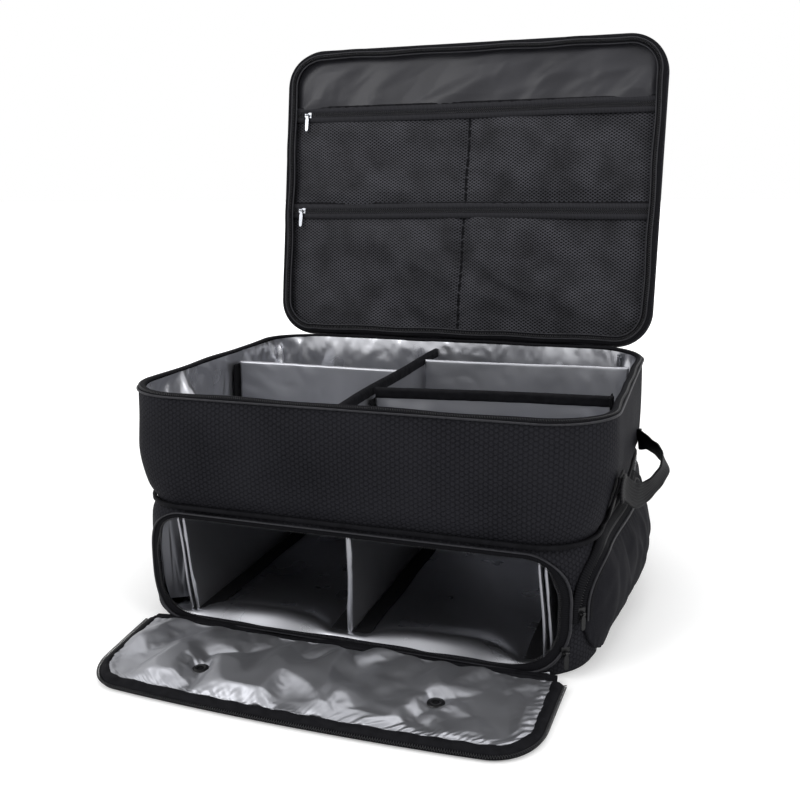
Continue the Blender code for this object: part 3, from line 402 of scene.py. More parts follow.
def slab(name, middle, thick, uv, material, above=0.0, below=0.0, rim=None, roll=None):
    """A stuffed or stiffened panel as one closed skin: middle ± normal * half. Half is thick/2 times the quarter
    ellipse sqrt(1 - (1 - d/roll)²), d being the distance from the rim, by default the least distance from the ends of
    u and v, so the edge is rolled; above and below are folds added to the two faces, fading to the rim in that way."""
    normal = unit(np.cross(np.gradient(middle, axis=1), np.gradient(middle, axis=0)))
    if rim is None:
        rim = np.min([end for a in uv for end in (a - a.min(), a.max() - a)], axis=0)
    fade = np.sqrt(1 - (1 - np.clip(rim / (roll or thick / 2), 0, 1)) ** 2)
    top = middle + normal * (fade * (thick / 2 + above))[..., None]
    under = middle - normal * (fade * (thick / 2 + below))[..., None]
    rows, columns = middle.shape[:2]
    index = np.arange(rows * (2 * columns - 2)).reshape(rows, -1)
    for end in (0, -1):
        index[end, columns:] = index[end, columns - 2 : 0 : -1]
    there_and_back = lambda a, b: np.concatenate([a, b[:, -2:0:-1]], 1)
    uv = [there_and_back(a, a) for a in uv]
    return skin(name, there_and_back(top, under), material, round_columns=True, uv=uv, index=index)


sleeve_film = film("aluminised PE film, board sleeve", "#a9aaaf", 0.34, 0.8, 0.93)
BOARD_FRONT, BOARD_BACK, BOARD_FOOT, BOARD_TOP = -0.168, 0.162, 0.0091, 0.1045
y, z = np.meshgrid(spread(BOARD_FRONT, BOARD_BACK, 110, 0.0015), spread(BOARD_FOOT, BOARD_TOP, 34, 0.0015))
for name, foot, head, thick, lean_out, seed in (
    ("left_inner_board", -0.152, -0.163, 0.0025, 0.0, 21),
    ("left_outer_board", -0.152, -0.163, 0.0025, -0.0055, 22),
    ("centre_board", 0.001, 0.001, 0.0050, 0.0, 23),
    ("right_inner_board", 0.174, 0.166, 0.0025, 0.0, 24),
    ("right_outer_board", 0.174, 0.166, 0.0025, 0.0055, 25),
):
    up = (z - BOARD_FOOT) / (BOARD_TOP - BOARD_FOOT)
    near_front = np.exp(-((y - BOARD_FRONT) / 0.05))
    x = foot + (head - foot) * up + lean_out + 0.0005 * near_front * np.sin(up * 7 + seed)
    ruck = np.abs(folds(y, z, seed, 46, 0.0007, 0.005, 0.022, 0.2, 2.4, True)) * (0.5 + near_front)
    piece = slab(name + "_sleeve", np.stack([x, y, z], -1), thick, (y, z), sleeve_film, ruck, ruck[::-1])
    settle(piece, "case", "silver_film", name)

SILL = -0.1765
deep = np.concatenate([np.linspace(SILL, -0.140, 40), spread(-0.140, BOARD_BACK, 60, 0.0012)[1:]])
x, y = np.meshgrid(spread(-0.176, 0.179, 130, 0.0012), deep)
bay = np.clip(1 - np.abs((np.abs(x + 0.001) - 0.084) / 0.068) ** 2.5, 0, 1)
front_edge = 0.006 + (0.017 + 0.004 * np.sin(x * 40 + 2)) * bay
roll_over = 0.0058 * np.clip((SILL + front_edge - y) / front_edge, 0, 1) ** 1.5
pillow = 0.0066 * bay * np.exp(-(((y - SILL - front_edge * 0.95) / (0.60 * front_edge + 0.003)) ** 2))
ripple = folds(x, y, 31, 26, 0.0006, 0.02, 0.05, 0.6, 2.0)
middle = np.stack([x, y, 0.0075 - roll_over + pillow], -1)
base_film = film("aluminised PE film, base sleeve", "#a6a7ac", 0.27, 0.15, 0.98)
base_board = slab("base_board_sleeve", middle, 0.0025, (x, y), base_film, np.abs(ripple))
settle(base_board, "case", "silver_film", "base_board")

# --- Hook-and-loop tapes at the boards' feet --------------------------------------------------------------------------
# 16 mm black nylon hook tape, sewn to the sleeves and pressed down on the base board. Its hooks read as a dull fuzz.


def flecked(name, roughness, flecks, dark, light, millimetres=0.0, **looks):
    """A plain dark finish, mottled between two colours by a fine noise that also stands up by some millimetres."""
    material, tree, shader, place, uv = surface(name, roughness, **looks)
    fleck = add(tree, "TexNoise", {"Vector": place, **flecks})
    plug(shader, {"Base Color": blend_colours(tree, fleck, dark, light)})
    if millimetres:
        plug(shader, {"Normal": emboss(tree, fleck, millimetres)})
    return material


hooks = {"Scale": 1400.0, "Detail": 2.0}
hook_tape = flecked("nylon hook-and-loop tape", 0.85, hooks, "#0b0b0d", "#1e1e20", 0.5, sheen=0.01, specular=0.02)


def tape_patch(name, place_on, long, wide, thick, material, body, *nodes):
    """A tape laid on a surface: place_on(run, side) gives its middle for run along it and side across it."""
    run, side = np.meshgrid(spread(*long, 40, thick / 2), spread(*wide, 6, thick / 2))
    settle(slab(name, place_on(run, side), thick, (run, side), material), body, "webbing_and_tape", *nodes)


for node in ("left_foot_tape", "centre_foot_tape_left", "centre_foot_tape_right", "right_foot_tape"):
    (x0, y0, z0), (x1, y1, z1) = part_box(node)
    level = (z0 + z1) / 2
    lay = lambda run, side: np.stack([side + 0.0006 * np.sin(run * 60), run, level + 0.0002 + 0 * run], -1)
    tape_patch(node + "_cloth", lay, (y0, y1), (x0, x1), 0.0014, hook_tape, "case", node)

# --- Shoe opening's zip -----------------------------------------------------------------------------------------------
# Half of a number 5 coil zip is sewn round the opening's raw edge: 9 mm of woven tape, then the coil, a helix of nylon
# wire. It is drawn at 2 mm to the turn, where the real zip has 1.3, so that it shows as dots.


def ribbed_tape(name, specular, dark, light):
    """Woven polyester zip tape, dull and dark, with ribs 1.6 mm apart across it that stand up by .15 mm."""
    material, tree, shader, place, uv = surface(name, 0.7, specular=specular)
    ribs = add(tree, "TexWave", {"Vector": uv, "Scale": BAND / 0.0016, "Distortion": 0.6}, bands_direction="X")
    colour = blend_colours(tree, ribs, dark, light)
    plug(shader, {"Base Color": colour, "Normal": emboss(tree, ribs, 0.15, strength=0.7)})
    return material


zip_tape = ribbed_tape("woven polyester zip tape", 0.03, "#0d0d0f", "#1d1d20")
fleck = {"Scale": 300.0, "Detail": 3.0}
piping_nylon = flecked("coated nylon piping", 0.45, fleck, "#19191c", "#37373b", 0.3, specular=0.15)
coil_nylon = flecked("extruded nylon zip coil", 0.32, {"Scale": 500.0}, "#1a1a1c", "#2e2e31", ior=1.53)


def strip(name, profile, lay, runs, material, closed=True):
    """A band with a closed cross-section carried along a line: lay(run, across, out) gives places for each point
    (across, out) of the profile at each run."""
    across, out = np.array(profile, float).T[:, :, None]
    uv = np.broadcast_arrays(runs[None], across)
    return skin(name, lay(runs[None], across, out), material, round_rows=True, round_columns=closed, uv=uv)


def oval(across, out, wide, high, count):
    """A flat oval cross-section: centre + (wide/2 cos t, high/2 sin t), squared off a little by a power of 0.6."""
    t = np.linspace(0, 2 * math.pi, count, endpoint=False)[::-1]
    power = lambda a: np.sign(a) * np.abs(a) ** 0.6
    return np.stack([across + wide / 2 * power(np.cos(t)), out + high / 2 * power(np.sin(t))], -1)


def coil(name, lay, runs, across, out, wide=0.0026, high=0.0016, turn=0.002, wire=0.00042, closed=True):
    """A zip's coil: run + the helix (wide/2 cos t, high/2 sin t), t one turn every 2 mm, as a wire of five sides."""
    length = runs[-1] - runs[0]
    turns = max(4, round(length / turn))
    s = np.linspace(0, 1, turns * 8, endpoint=not closed)
    t = s * turns * 2 * math.pi
    runs_at = runs[0] + s * length
    ring = np.linspace(0, 2 * math.pi, 5, endpoint=False)[:, None]
    grid = lay(
        runs_at + wire * 0.5 * np.sin(ring) * np.ones_like(t),
        across + (wide / 2 + wire * np.cos(ring)) * np.cos(t),
        out + (high / 2 + wire * np.cos(ring)) * np.sin(t),
    )
    return skin(name, grid[:, ::-1], coil_nylon, round_rows=True, round_columns=closed)


def runs_along(points):
    """The way walked to each point of a line: 0, then the sum of the steps before it."""
    return np.append(0, np.cumsum(np.linalg.norm(np.diff(points, axis=0), axis=1)))


def trail(points, outward, closed=True):
    """A line to sew along: the runs to its points, and a function at(run, across) for point + across * outward, both
    read off between the points, round and round where the line is closed."""
    if closed:
        points, outward = np.append(points, points[:1], 0), np.append(outward, outward[:1], 0)
    known = runs_along(points)

    def at(run, across=0.0):
        run = run % known[-1] if closed else run
        x, y, out_x, out_y = (np.interp(run, known, values) for values in (*points.T, *outward.T))
        return x + across * out_x, y + across * out_y

    return known, at


edge_run, at_edge = trail(edge, edge_way)


def on_opening(run, across, out):
    """Places round the shoe opening: run is the way round its edge, across is outward from the edge in the cloth, and
    a fifth of that along the sill and half along the top, where the tape is turned under."""
    x, z = at_edge(run)
    sill = ease((0.172 - np.abs(x)) / 0.04) * (z < 0.03)
    across = across * (1 - 0.8 * sill - 0.5 * ease((z - 0.085) / 0.018))
    return wall(*at_edge(run, across), out + 0.0004 * np.sin(run * 160) * np.clip(-across / 0.008, 0, 1))


runs = np.arange(0, edge_run[-1], 0.002)
profile = [(-0.001, 0.0002), (-0.0072, 0.0002), (-0.0076, 0.0008), (-0.0072, 0.0014)]
profile += [(-0.002, 0.0016), (0.0002, 0.0024), (0.0015, 0.0018), (0.0015, 0.0004)]
opening_tape = strip("opening_zip_band", profile, on_opening, runs, zip_tape)
settle(opening_tape, "case", "webbing_and_tape", "opening_zip_tape")
opening_cord = strip("opening_piping", oval(0.0012, 0.0026, 0.0026, 0.0026, 8), on_opening, runs, piping_nylon)
opening_coil = coil("opening_zip_coil", on_opening, (0, edge_run[-1]), -0.0084, 0.0008)
for piece in (opening_cord, opening_coil):
    settle(piece, "case", "webbing_and_tape")

# --- Waist seam -------------------------------------------------------------------------------------------------------
# The two tiers are joined round the waist by a seam covered with 4 mm piping, a cord in a folded bias strip.


def round_case(run, across, out):
    """Places round the case: run from the middle of the front, across is the height."""
    run = (run + HALF_ROUND) % (2 * HALF_ROUND) - HALF_ROUND
    return wall(run, across, out)


bias_tape, tree, shader, place, uv = surface("bias-cut polyester binding", 0.6, specular=0.03)
# Its twill lines lie .5 mm apart; drawn 1.1 mm apart, as finer ones don't show.
weft = add(tree, "TexWave", {"Vector": uv, "Scale": BAND / 0.0011, "Distortion": 2.0}, bands_direction="DIAGONAL")
mottle = add(tree, "TexNoise", {"Vector": place, "Scale": 160.0})
colour = blend_colours(tree, mottle, "#0c0c0e", "#1e1e21")
plug(shader, {"Base Color": colour, "Normal": emboss(tree, mottle, 0.6, emboss(tree, weft, 0.1))})

runs = np.arange(-HALF_ROUND, HALF_ROUND, 0.003)
waist_cord = strip("waist_cord", oval(WAIST, 0.0025, 0.004, 0.004, 12), round_case, runs, bias_tape)
settle(waist_cord, "case", "webbing_and_tape", "waist_piping")

# --- Upper tier's shell -----------------------------------------------------------------------------------------------
# The upper tier is one band of the same honeycomb cloth over foam, joined at the back. It is fuller than its frame, so
# it bellies out a little and carries long, soft folds down from the rim and in from the waist seam.

along, height = np.meshgrid(np.linspace(-HALF_ROUND, HALF_ROUND, 560, endpoint=False), np.linspace(WAIST, 0.2138, 44))
round_again = np.concatenate([along, np.full_like(along[:, :1], HALF_ROUND)], 1)
held = arch((height - WAIST) / 0.1005) ** 0.7
sag = folds(along, height, 41, 70, 0.0012, 0.014, 0.040, 0.0, 1.2)
sag += folds(along, height, 42, 26, 0.0016, 0.03, 0.11, 1.5, 0.5)
ends = np.clip((HALF_ROUND - np.abs(along)) / 0.03, 0, 1)
upper_cloth = wall(along, height, np.clip(sag * held * ends, -0.0022, 0.0035))
cloth_uv = (round_again, height)
upper_shell = skin("upper_case_cloth", upper_cloth, honeycomb_oxford, round_columns=True, uv=cloth_uv, wall_mm=3.4)
settle(upper_shell, "case", "oxford_fabric", "upper_shell")

# --- Upper tier's lining ----------------------------------------------------------------------------------------------
# The same film, stitched in under the rim and at the floor. Wall and floor are one skin here, turned over a 5 mm round,
# and the walls' share of it is slack, so it buckles.


def settle_cloth(grid, pinned, spare, frames, bending):
    """Blender's cloth on a grid that is held where pinned: it is cut larger than its frame by the spare share, so it
    buckles into folds of its own without gravity. Returns the settled grid."""
    trial = skin("cloth_trial", grid, plain_oxford)
    group = trial.vertex_groups.new(name="held")
    group.add([int(k) for k in np.flatnonzero(pinned.ravel())], 1.0, "REPLACE")
    cloth = trial.modifiers.new("cloth", "CLOTH")
    rules = cloth.settings
    rules.quality, rules.mass, rules.vertex_group_mass, rules.pin_stiffness = 7, 0.1, "held", 1.0
    rules.tension_stiffness = rules.compression_stiffness = rules.shear_stiffness = 8.0
    rules.bending_stiffness, rules.shrink_min, rules.air_damping = bending, -spare, 2.0
    rules.effector_weights.gravity = 0.0
    cloth.collision_settings.use_collision = False
    cloth.point_cache.frame_start, cloth.point_cache.frame_end = 1, frames
    for step in range(1, frames + 1):
        bpy.context.scene.frame_set(step)
    lying = trial.evaluated_get(bpy.context.evaluated_depsgraph_get()).data
    places = np.zeros(len(lying.vertices) * 3, np.float32)
    lying.vertices.foreach_get("co", places)
    bpy.data.objects.remove(trial)
    bpy.context.scene.frame_set(1)
    return places.reshape(grid.shape).astype(float)


along, row = np.meshgrid(np.linspace(HALF_ROUND, -HALF_ROUND, 500), np.arange(30))
LINING_TOP, FLOOR_TURN, UPPER_DEPTH = 0.2140, 0.1228, -0.0059
level = FLOOR_TURN + (LINING_TOP - FLOOR_TURN) * (29 - row) / 29
held = arch((level - 0.1178) / 0.097) ** 0.6
crumple = folds(along, level, 51, 150, 0.0022, 0.006, 0.040, 0.0, 0.9, True)
crumple += folds(along, level, 52, 120, 0.0014, 0.010, 0.024, 0.0, 3.1)
crumple = -0.0007 - np.abs(crumple * held)
flat_wall = wall(along, level, UPPER_DEPTH)
sewn = (row == 0) | (row == 29) | (np.abs(np.abs(along) - HALF_ROUND) < 1e-6)
slack_wall = settle_cloth(wall(along, level, UPPER_DEPTH + crumple), sewn, 0.05, 20, 0.12)
inward = wall(along, level, -0.0069) - flat_wall
crumple = -np.abs(((slack_wall - flat_wall) * inward).sum(-1) / np.linalg.norm(inward, axis=-1))
# It bunches in the corners and lies nearly flat along the walls, and where a tape is stitched on.
corner_gap = np.abs(np.abs(np.abs(along) - SIDE_START - STRAIGHT_Y) - STRAIGHT_Y)
crumple = crumple * (0.5 + 0.8 * np.exp(-((corner_gap / 0.055) ** 2)))
gathers = np.abs(folds(along, level, 57, 90, 0.0120, 0.0060, 0.065, 0.0, 0.45, True))
crumple -= gathers * held * np.exp(-((corner_gap / 0.075) ** 2))
deep = np.clip((LINING_TOP - level) / (LINING_TOP - FLOOR_TURN), 0, 1)
behind = ease((np.abs(along) - BACK_ARC - 0.04) / 0.06)
crumple -= 0.0048 * np.sin(np.pi * deep**0.8) * behind * (0.7 + 0.3 * np.sin(along * 17 + level * 30))
for node, hand in (("left_wall_tape", -1), ("right_wall_front_tape", 1), ("right_wall_rear_tape", 1)):
    (_, y0, _), (_, y1, _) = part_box(node)
    crumple = crumple * ease((np.abs(along - hand * (SIDE_START + STRAIGHT_Y + (y0 + y1) / 2)) - 0.012) / 0.012)
sides = wall(along, level, UPPER_DEPTH + np.clip(crumple, -0.016, 0))[:, :-1]
along = along[:, :-1]
turn = np.linspace(0, math.pi / 2, 5)[1:, None, None]
foot = wall(along[:1], FLOOR_TURN, UPPER_DEPTH - 0.005 * (1 - np.cos(turn[..., 0])))
foot[..., 2] = FLOOR_TURN - 0.005 * np.sin(turn[..., 0])
shrink = np.linspace(1, 0.03, 40)[1:, None, None]
ground = foot[-1:] * shrink
dents = folds(ground[..., 0], ground[..., 1], 53, 70, 0.0013, 0.008, 0.035, 0.5, 3.1, True)
ground[..., 2] = 0.1179 + np.abs(dents) * np.clip((1 - shrink[..., 0]) * 12, 0, 1)
tray_film = film("aluminised PE film, tray", "#bcbdc2", 0.27, 0.5, 0.9)
tray = np.concatenate([sides, foot, ground])
upper_film = skin("upper_lining_film", tray, tray_film, round_columns=True, cap=True)
settle(upper_film, "case", "silver_film", "upper_lining")

# --- Rim --------------------------------------------------------------------------------------------------------------
# Round the rim the lid's zip is sewn between lining and shell: piping outside, then the tape standing up and leaning
# in, with the coil along its top.

rim_cord = strip("rim_cord", oval(0.2136, 0.0010, 0.0017, 0.0018, 12), round_case, runs, piping_nylon)
settle(rim_cord, "case", "webbing_and_tape", "rim_piping")


def round_rim(run, across, out):
    """Places round the rim, in waves of half a millimetre: up by .5 mm sin(47 run), out by .4 mm sin(83 run)."""
    up = 0.0005 * np.sin(run * 47) * (across > 0.212)
    return round_case(run, across + up, out + 0.0004 * np.sin(run * 83))


profile = [(0.2138, -0.0042), (0.2136, -0.0008), (0.2142, 0.0006), (0.2150, 0.0003), (0.2161, -0.0008)]
profile += [(0.2171, -0.0022), (0.2172, -0.0044), (0.2165, -0.0060), (0.2153, -0.0067), (0.2140, -0.0062)]
settle(strip("rim_zip_band", profile, round_rim, runs, zip_tape), "case", "webbing_and_tape", "rim_zip_tape")
rim_coil = coil("rim_zip_coil", round_rim, (-HALF_ROUND, HALF_ROUND), 0.2160, -0.0010, 0.0014, 0.0016)
settle(rim_coil, "case", "webbing_and_tape")

# --- Dividers ---------------------------------------------------------------------------------------------------------
# Foam boards in film sleeves, held upright by hook-and-loop tape at their ends. Two of them have a bound top edge, a
# black strip folded over and stitched through. The film sits loose on the foam and rucks towards the ends.

DIVIDER_THICK, BINDING_THICK = 0.0046, 0.0072
sleeve_soft = film("aluminised PE film, divider sleeve", "#a2a3a8", 0.34, 1.0)


def divider(node, start, end, seed, bow, bound=None):
    """A padded divider from start to end in plan: middle = start + (end - start) * t + square * bow * sine(t), and its
    binding over the top, following the same line."""
    start, end = np.array(start), np.array(end)
    run = np.linalg.norm(end - start)
    ahead = (end - start) / run
    square = np.array([-ahead[1], ahead[0]])

    def line(t, z):
        off = bow * np.sin(np.pi * t / run) + 0.0010 * np.sin(t * 31 + seed) * ((z - 0.118) / 0.087) ** 2
        return np.stack([start[0] + ahead[0] * t + square[0] * off, start[1] + ahead[1] * t + square[1] * off, z], -1)

    t, z = np.meshgrid(spread(0, run, 90, 0.0025), spread(0.1181, 0.2048, 30, 0.0025))
    ends = np.exp(-np.minimum(t, run - t) / 0.03)
    under_band = np.clip((0.196 - z) / 0.01, 0, 1) if bound else 1.0
    rucks = [np.abs(folds(t, z, seed + k, 40, 0.0009, 0.009, 0.034, 0.3, 2.2)) for k in (0, 50)]
    rucks = [ruck * (0.5 + ends) * under_band for ruck in rucks]
    piece = slab(node + "_sleeve", line(t, z), DIVIDER_THICK, (t, z), sleeve_soft, *rucks)
    settle(piece, "case", "silver_film", node)
    if bound:
        t, z = np.meshgrid(spread(0, run, 150, 0.002), spread(0.1958, 0.2066, 8, 0.003))
        pucker = 0.0002 * np.sin(t * 240 + 3 * np.sin(t * 60)) * (z < 0.204)
        piece = slab(bound + "_strip", line(t, z), BINDING_THICK, (t, z), bias_tape, pucker, pucker, roll=0.0032)
        settle(piece, "case", "webbing_and_tape", bound)


divider("centre_divider", (-0.019, -0.1696), (-0.019, 0.1696), 61, 0.0012, "centre_divider_binding")
divider("left_cross_divider", (-0.2092, 0.0401), (-0.0242, 0.0401), 63, 0.0010)
divider("right_rear_divider", (-0.0136, 0.1062), (0.2068, 0.1220), 65, -0.0010)
divider("right_front_divider", (-0.0136, -0.0549), (0.2068, -0.0302), 67, 0.0010, "right_front_binding")

# --- Hook-and-loop tapes on the walls ---------------------------------------------------------------------------------
# 20 mm upright strips, stitched to the lining where the dividers' ends meet it.

for node, hand in (("left_wall_tape", -1), ("right_wall_front_tape", 1), ("right_wall_rear_tape", 1)):
    (x0, y0, z0), (x1, y1, z1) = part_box(node)
    middle = SIDE_START + STRAIGHT_Y + (y0 + y1) / 2
    half = min((y1 - y0) / 2, 0.0098)
    on_wall = lambda run, side: wall(hand * (middle - hand * side), run, -0.0092)
    tape_patch(node + "_cloth", on_wall, (z0, z1), (-half, half), 0.0014, hook_tape, "case", node)
node = "centre_divider_tape"
(x0, y0, z0), (x1, y1, z1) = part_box(node)
on_divider = lambda run, side: np.stack([0 * run + x0 + 0.0011, side, run], -1)
tape_patch(node + "_cloth", on_divider, (z0, z1), (y0, y1), 0.0014, hook_tape, "case", node)
tab_lay = lambda run, side: np.stack([0.2040 + 0.0012 * np.sin(run * 200) + 0 * side, -0.0301 + side, run], -1)
tape_patch("front_divider_tab", tab_lay, (0.150, 0.2062), (-0.012, 0.012), 0.0018, hook_tape, "case")

# --- Side pocket ------------------------------------------------------------------------------------------------------
# A rounded piece of plain oxford, gathered a little into its curved zip so that it stands 12 mm off the case when
# empty, with long soft folds from the zip down to the foot.

POCKET = dict(half=0.129, low=0.010, high=0.098, low_r=0.040, high_r=0.040)
POCKET_MIDDLE = 0.341


def inside(x, y, half, low, high, low_r, high_r):
    """How far a place lies inside a rounded rectangle: r - hypot(max(q, 0)) - min(max(qx, qy), 0), with q = the
    distance beyond the straight parts."""
    r = np.where(y < (low + high) / 2, low_r, high_r)
    qx, qy = np.abs(x) - (half - r), np.abs(y - (low + high) / 2) - ((high - low) / 2 - r)
    return np.clip(r - np.hypot(np.maximum(qx, 0), np.maximum(qy, 0)) - np.minimum(np.maximum(qx, qy), 0), 0, None)


def fill(shape, columns, rows, rim):
    """A grid over a rounded rectangle: rows from low to high, each as wide as the outline there, half - (r -
    sqrt(r² - short²)) where a corner of radius r is short of its centre."""
    y = spread(shape["low"], shape["high"], rows, rim)[:, None]
    width = np.full(y.shape, shape["half"])
    for r, deep in ((shape["low_r"], y - shape["low"]), (shape["high_r"], shape["high"] - y)):
        short = r - np.clip(deep, 0, r)
        width = np.minimum(width, shape["half"] - r + np.sqrt(np.clip(r * r - short**2, 0, None)))
    s = spread(-1, 1, columns, rim / shape["half"])[None]
    return s * width, y + 0 * s


x, z = fill(POCKET, 120, 46, 0.003)
depth = inside(x, z, **POCKET)
belly = 0.012 * np.clip(np.sin(np.pi * (x + 0.129) / 0.258) * np.sin(np.pi * (z - 0.010) / 0.088), 0, 1) ** 0.7
drape = folds(x, z, 71, 26, 0.0022, 0.010, 0.050, 0.25, 0.9) + folds(x, z, 72, 40, 0.0008, 0.006, 0.020, -0.6, 1.6)
pucker = 0.0006 * np.sin(x * 700 + 4 * np.sin(x * 50)) * np.exp(-depth / 0.006)
lift = np.clip(drape * np.clip(depth / 0.02, 0, 1), -0.003, 0.004) + pucker
laid = wall(POCKET_MIDDLE + x, z, 0.0013)
side_pocket = slab("side_pocket_cloth", laid, 0.0022, (x, z), plain_oxford, belly + lift, rim=depth)
settle(side_pocket, "case", "oxford_fabric", "side_pocket")

rim_points, rim_way = rounded(**POCKET)
rim_run, at_pocket = trail(rim_points, rim_way, closed=False)


def on_pocket(run, across, out):
    """Places along the pocket's zip: run is the way round the pocket's edge, across is outward from the edge."""
    along, height = at_pocket(run, across)
    return wall(POCKET_MIDDLE + along, height, out)


high_up = np.where(rim_points[:, 1] > 0.044)[0]
zip_runs = np.arange(rim_run[high_up[0]], rim_run[high_up[-1]], 0.0025)
profile = [(-0.0070, 0.0030), (-0.0064, 0.0054), (-0.0030, 0.0058), (-0.0008, 0.0036), (0.0022, 0.0034)]
profile += [(0.0034, 0.0020), (0.0046, 0.0020), (0.0058, 0.0036), (0.0100, 0.0040), (0.0124, 0.0026), (0.0126, 0.0006)]
side_tape = strip("side_zip_band", profile, on_pocket, zip_runs, zip_tape, closed=False)
settle(side_tape, "case", "webbing_and_tape", "side_zip_tape")
side_coil = coil("side_zip_coil", on_pocket, zip_runs[[0, -1]], 0.0040, 0.0018, closed=False)
cord = oval(-0.0016, 0.0050, 0.0018, 0.0018, 8)
side_cord = strip("side_zip_cord", cord, on_pocket, zip_runs, piping_nylon, closed=False)
for piece in (side_coil, side_cord):
    settle(piece, "case", "webbing_and_tape")

# --- Handles ----------------------------------------------------------------------------------------------------------
# 22 mm polypropylene webbing. Each strap is box-stitched to the case at its front, folds over, bows out as a grab loop
# and is stitched down again at the back; its tail runs down to the waist seam under a folded end.

webbing, tree, shader, place, uv = surface("polypropylene webbing, plain woven", 0.5, ior=1.49, specular=0.05)
picks = add(tree, "TexWave", {"Vector": uv, "Scale": BAND / 0.0021, "Distortion": 0.5}, bands_direction="X")
ends_ = add(tree, "TexWave", {"Vector": uv, "Scale": BAND / 0.0028, "Distortion": 0.5}, bands_direction="Y")
both = add(tree, "Math", {0: picks, 1: ends_}, operation="MULTIPLY")
colour = blend_colours(tree, both, "#0e0e10", "#222225")
plug(shader, {"Base Color": colour, "Normal": emboss(tree, both, 0.5, strength=0.8)})

# The strap's way, from front to back: along the side from its middle, height, and distance from the case.
ROUTE = [(-0.130, 0.1505, 0.0050), (-0.108, 0.147, 0.0050), (-0.090, 0.140, 0.0060), (-0.072, 0.130, 0.0110)]
ROUTE += [(-0.056, 0.123, 0.0165), (-0.036, 0.121, 0.0215), (-0.012, 0.125, 0.0270), (0.010, 0.131, 0.0305)]
ROUTE += [(0.034, 0.134, 0.0290), (0.060, 0.134, 0.0200), (0.086, 0.136, 0.0070), (0.103, 0.132, 0.0008)]
ROUTE = np.array(ROUTE + [(0.118, 0.129, 0.0006)])
STRAP_HALF, STRAP_THICK = 0.0112, 0.0022


def smooth_line(points, count):
    """A curve through points: Catmull-Rom pieces, resampled evenly."""
    p = np.concatenate([2 * points[:1] - points[1:2], points, 2 * points[-1:] - points[-2:-1]])
    t = np.linspace(0, len(points) - 1.0001, count)
    k, f = t.astype(int), (t % 1)[:, None]
    a, b, c, d = p[k], p[k + 1], p[k + 2], p[k + 3]
    return 0.5 * (2 * b + (c - a) * f + (2 * a - 5 * b + 4 * c - d) * f**2 + (3 * b - a - 3 * c + d) * f**3)


for hand, name in ((1, "right"), (-1, "left")):
    route = smooth_line(ROUTE, 120)
    centre = wall(hand * (SIDE_START + STRAIGHT_Y + route[:, 0]), route[:, 1], route[:, 2])
    ahead = unit(np.gradient(centre, axis=0))
    widthwise = unit(np.cross(ahead, [1.0, 0, 0]))
    twist = math.radians(-25) * ease((route[:, :1] + 0.020) / 0.060) * (1 - ease((route[:, :1] - 0.092) / 0.026))
    sideways = np.sign(widthwise[:, 2:3]) * np.array([hand, 0, 0])
    widthwise = unit(np.cos(twist) * widthwise + np.sin(twist) * sideways)
    side = spread(-STRAP_HALF, STRAP_HALF, 10, 0.001)
    middle = centre[None] + widthwise[None] * side[:, None, None]
    u, v = np.meshgrid(runs_along(centre), side)
    curl = 0.0010 * (v / STRAP_HALF) ** 2 + 0.0003 * np.sin(u * 240) * (np.abs(v) > 0.008)
    middle = middle + np.cross(widthwise, ahead)[None] * (curl * hand)[..., None]
    strap = slab(name + "_strap", middle[::-hand], STRAP_THICK, (u, v), webbing)
    settle(strap, "case", "webbing_and_tape", name + "_handle")
    tail_lay = lambda run, side: wall(hand * (SIDE_START + side * hand), run, 0.0018 + 0.0004 * np.sin(run * 210))
    tail, wide = (0.1205, 0.162), (-STRAP_HALF, STRAP_HALF)
    node = name + "_handle_tail"
    tape_patch(node + "_strap", tail_lay, tail, wide, STRAP_THICK, webbing, "case", node)

# --- Shoe flap --------------------------------------------------------------------------------------------------------
# The shoe compartment's door, unzipped and lying on the ground: oxford outside, 4 mm foam, film inside, and a bound
# edge that carries the other half of the zip. The film is slack and drawn in by the two vent eyelets.

FLAP_HALF, FLAP_LONG, FLAP_BOW, FLAP_ROUND, FLAP_HINGE = 0.194, 0.108, 0.008, 0.038, -0.1905


def on_ground(across, out, up):
    """A place of the open flap: across, 190.5 mm + out before the middle, up. The sides are drawn in by up to 14 mm
    on the left and 6 mm on the right, times (across/half)⁴, as the zip's edge is gathered."""
    across, out, up = np.broadcast_arrays(across, out, up)
    near_hinge, farther = np.where(across < 0, 0.004, 0.001), np.where(across < 0, 0.010, 0.005)
    drawn_in = (across / FLAP_HALF) ** 4 * (near_hinge + farther * np.clip(out / FLAP_LONG, 0, 1))
    return np.stack([across - np.sign(across) * drawn_in, FLAP_HINGE - out, up], -1)


def flap_grid(inset, start, columns, rows, rim):
    """A grid over the flap inside that inset: out from the hinge, each row as wide as the outline, the far edge bowed
    by 8 mm * (1 - (x/half)²), with the distance of each place from the flap's edge."""
    out = spread(start, FLAP_LONG - inset, rows, rim)[:, None]
    s = spread(-1, 1, columns, rim / FLAP_HALF)[None]
    r = FLAP_ROUND - inset
    short = np.clip(out - (FLAP_LONG - FLAP_ROUND), 0, r)
    x = s * (FLAP_HALF - inset - r + np.sqrt(r * r - short**2))
    qx, qy = np.abs(x) - (FLAP_HALF - FLAP_ROUND), out - (FLAP_LONG - FLAP_ROUND) + 0 * x
    d = FLAP_ROUND - np.hypot(np.maximum(qx, 0), np.maximum(qy, 0)) - np.minimum(np.maximum(qx, qy), 0) - inset
    out = out + FLAP_BOW * (1 - (x / FLAP_HALF) ** 2) * (out / FLAP_LONG)
    return x, out, np.clip(d, 0, None)


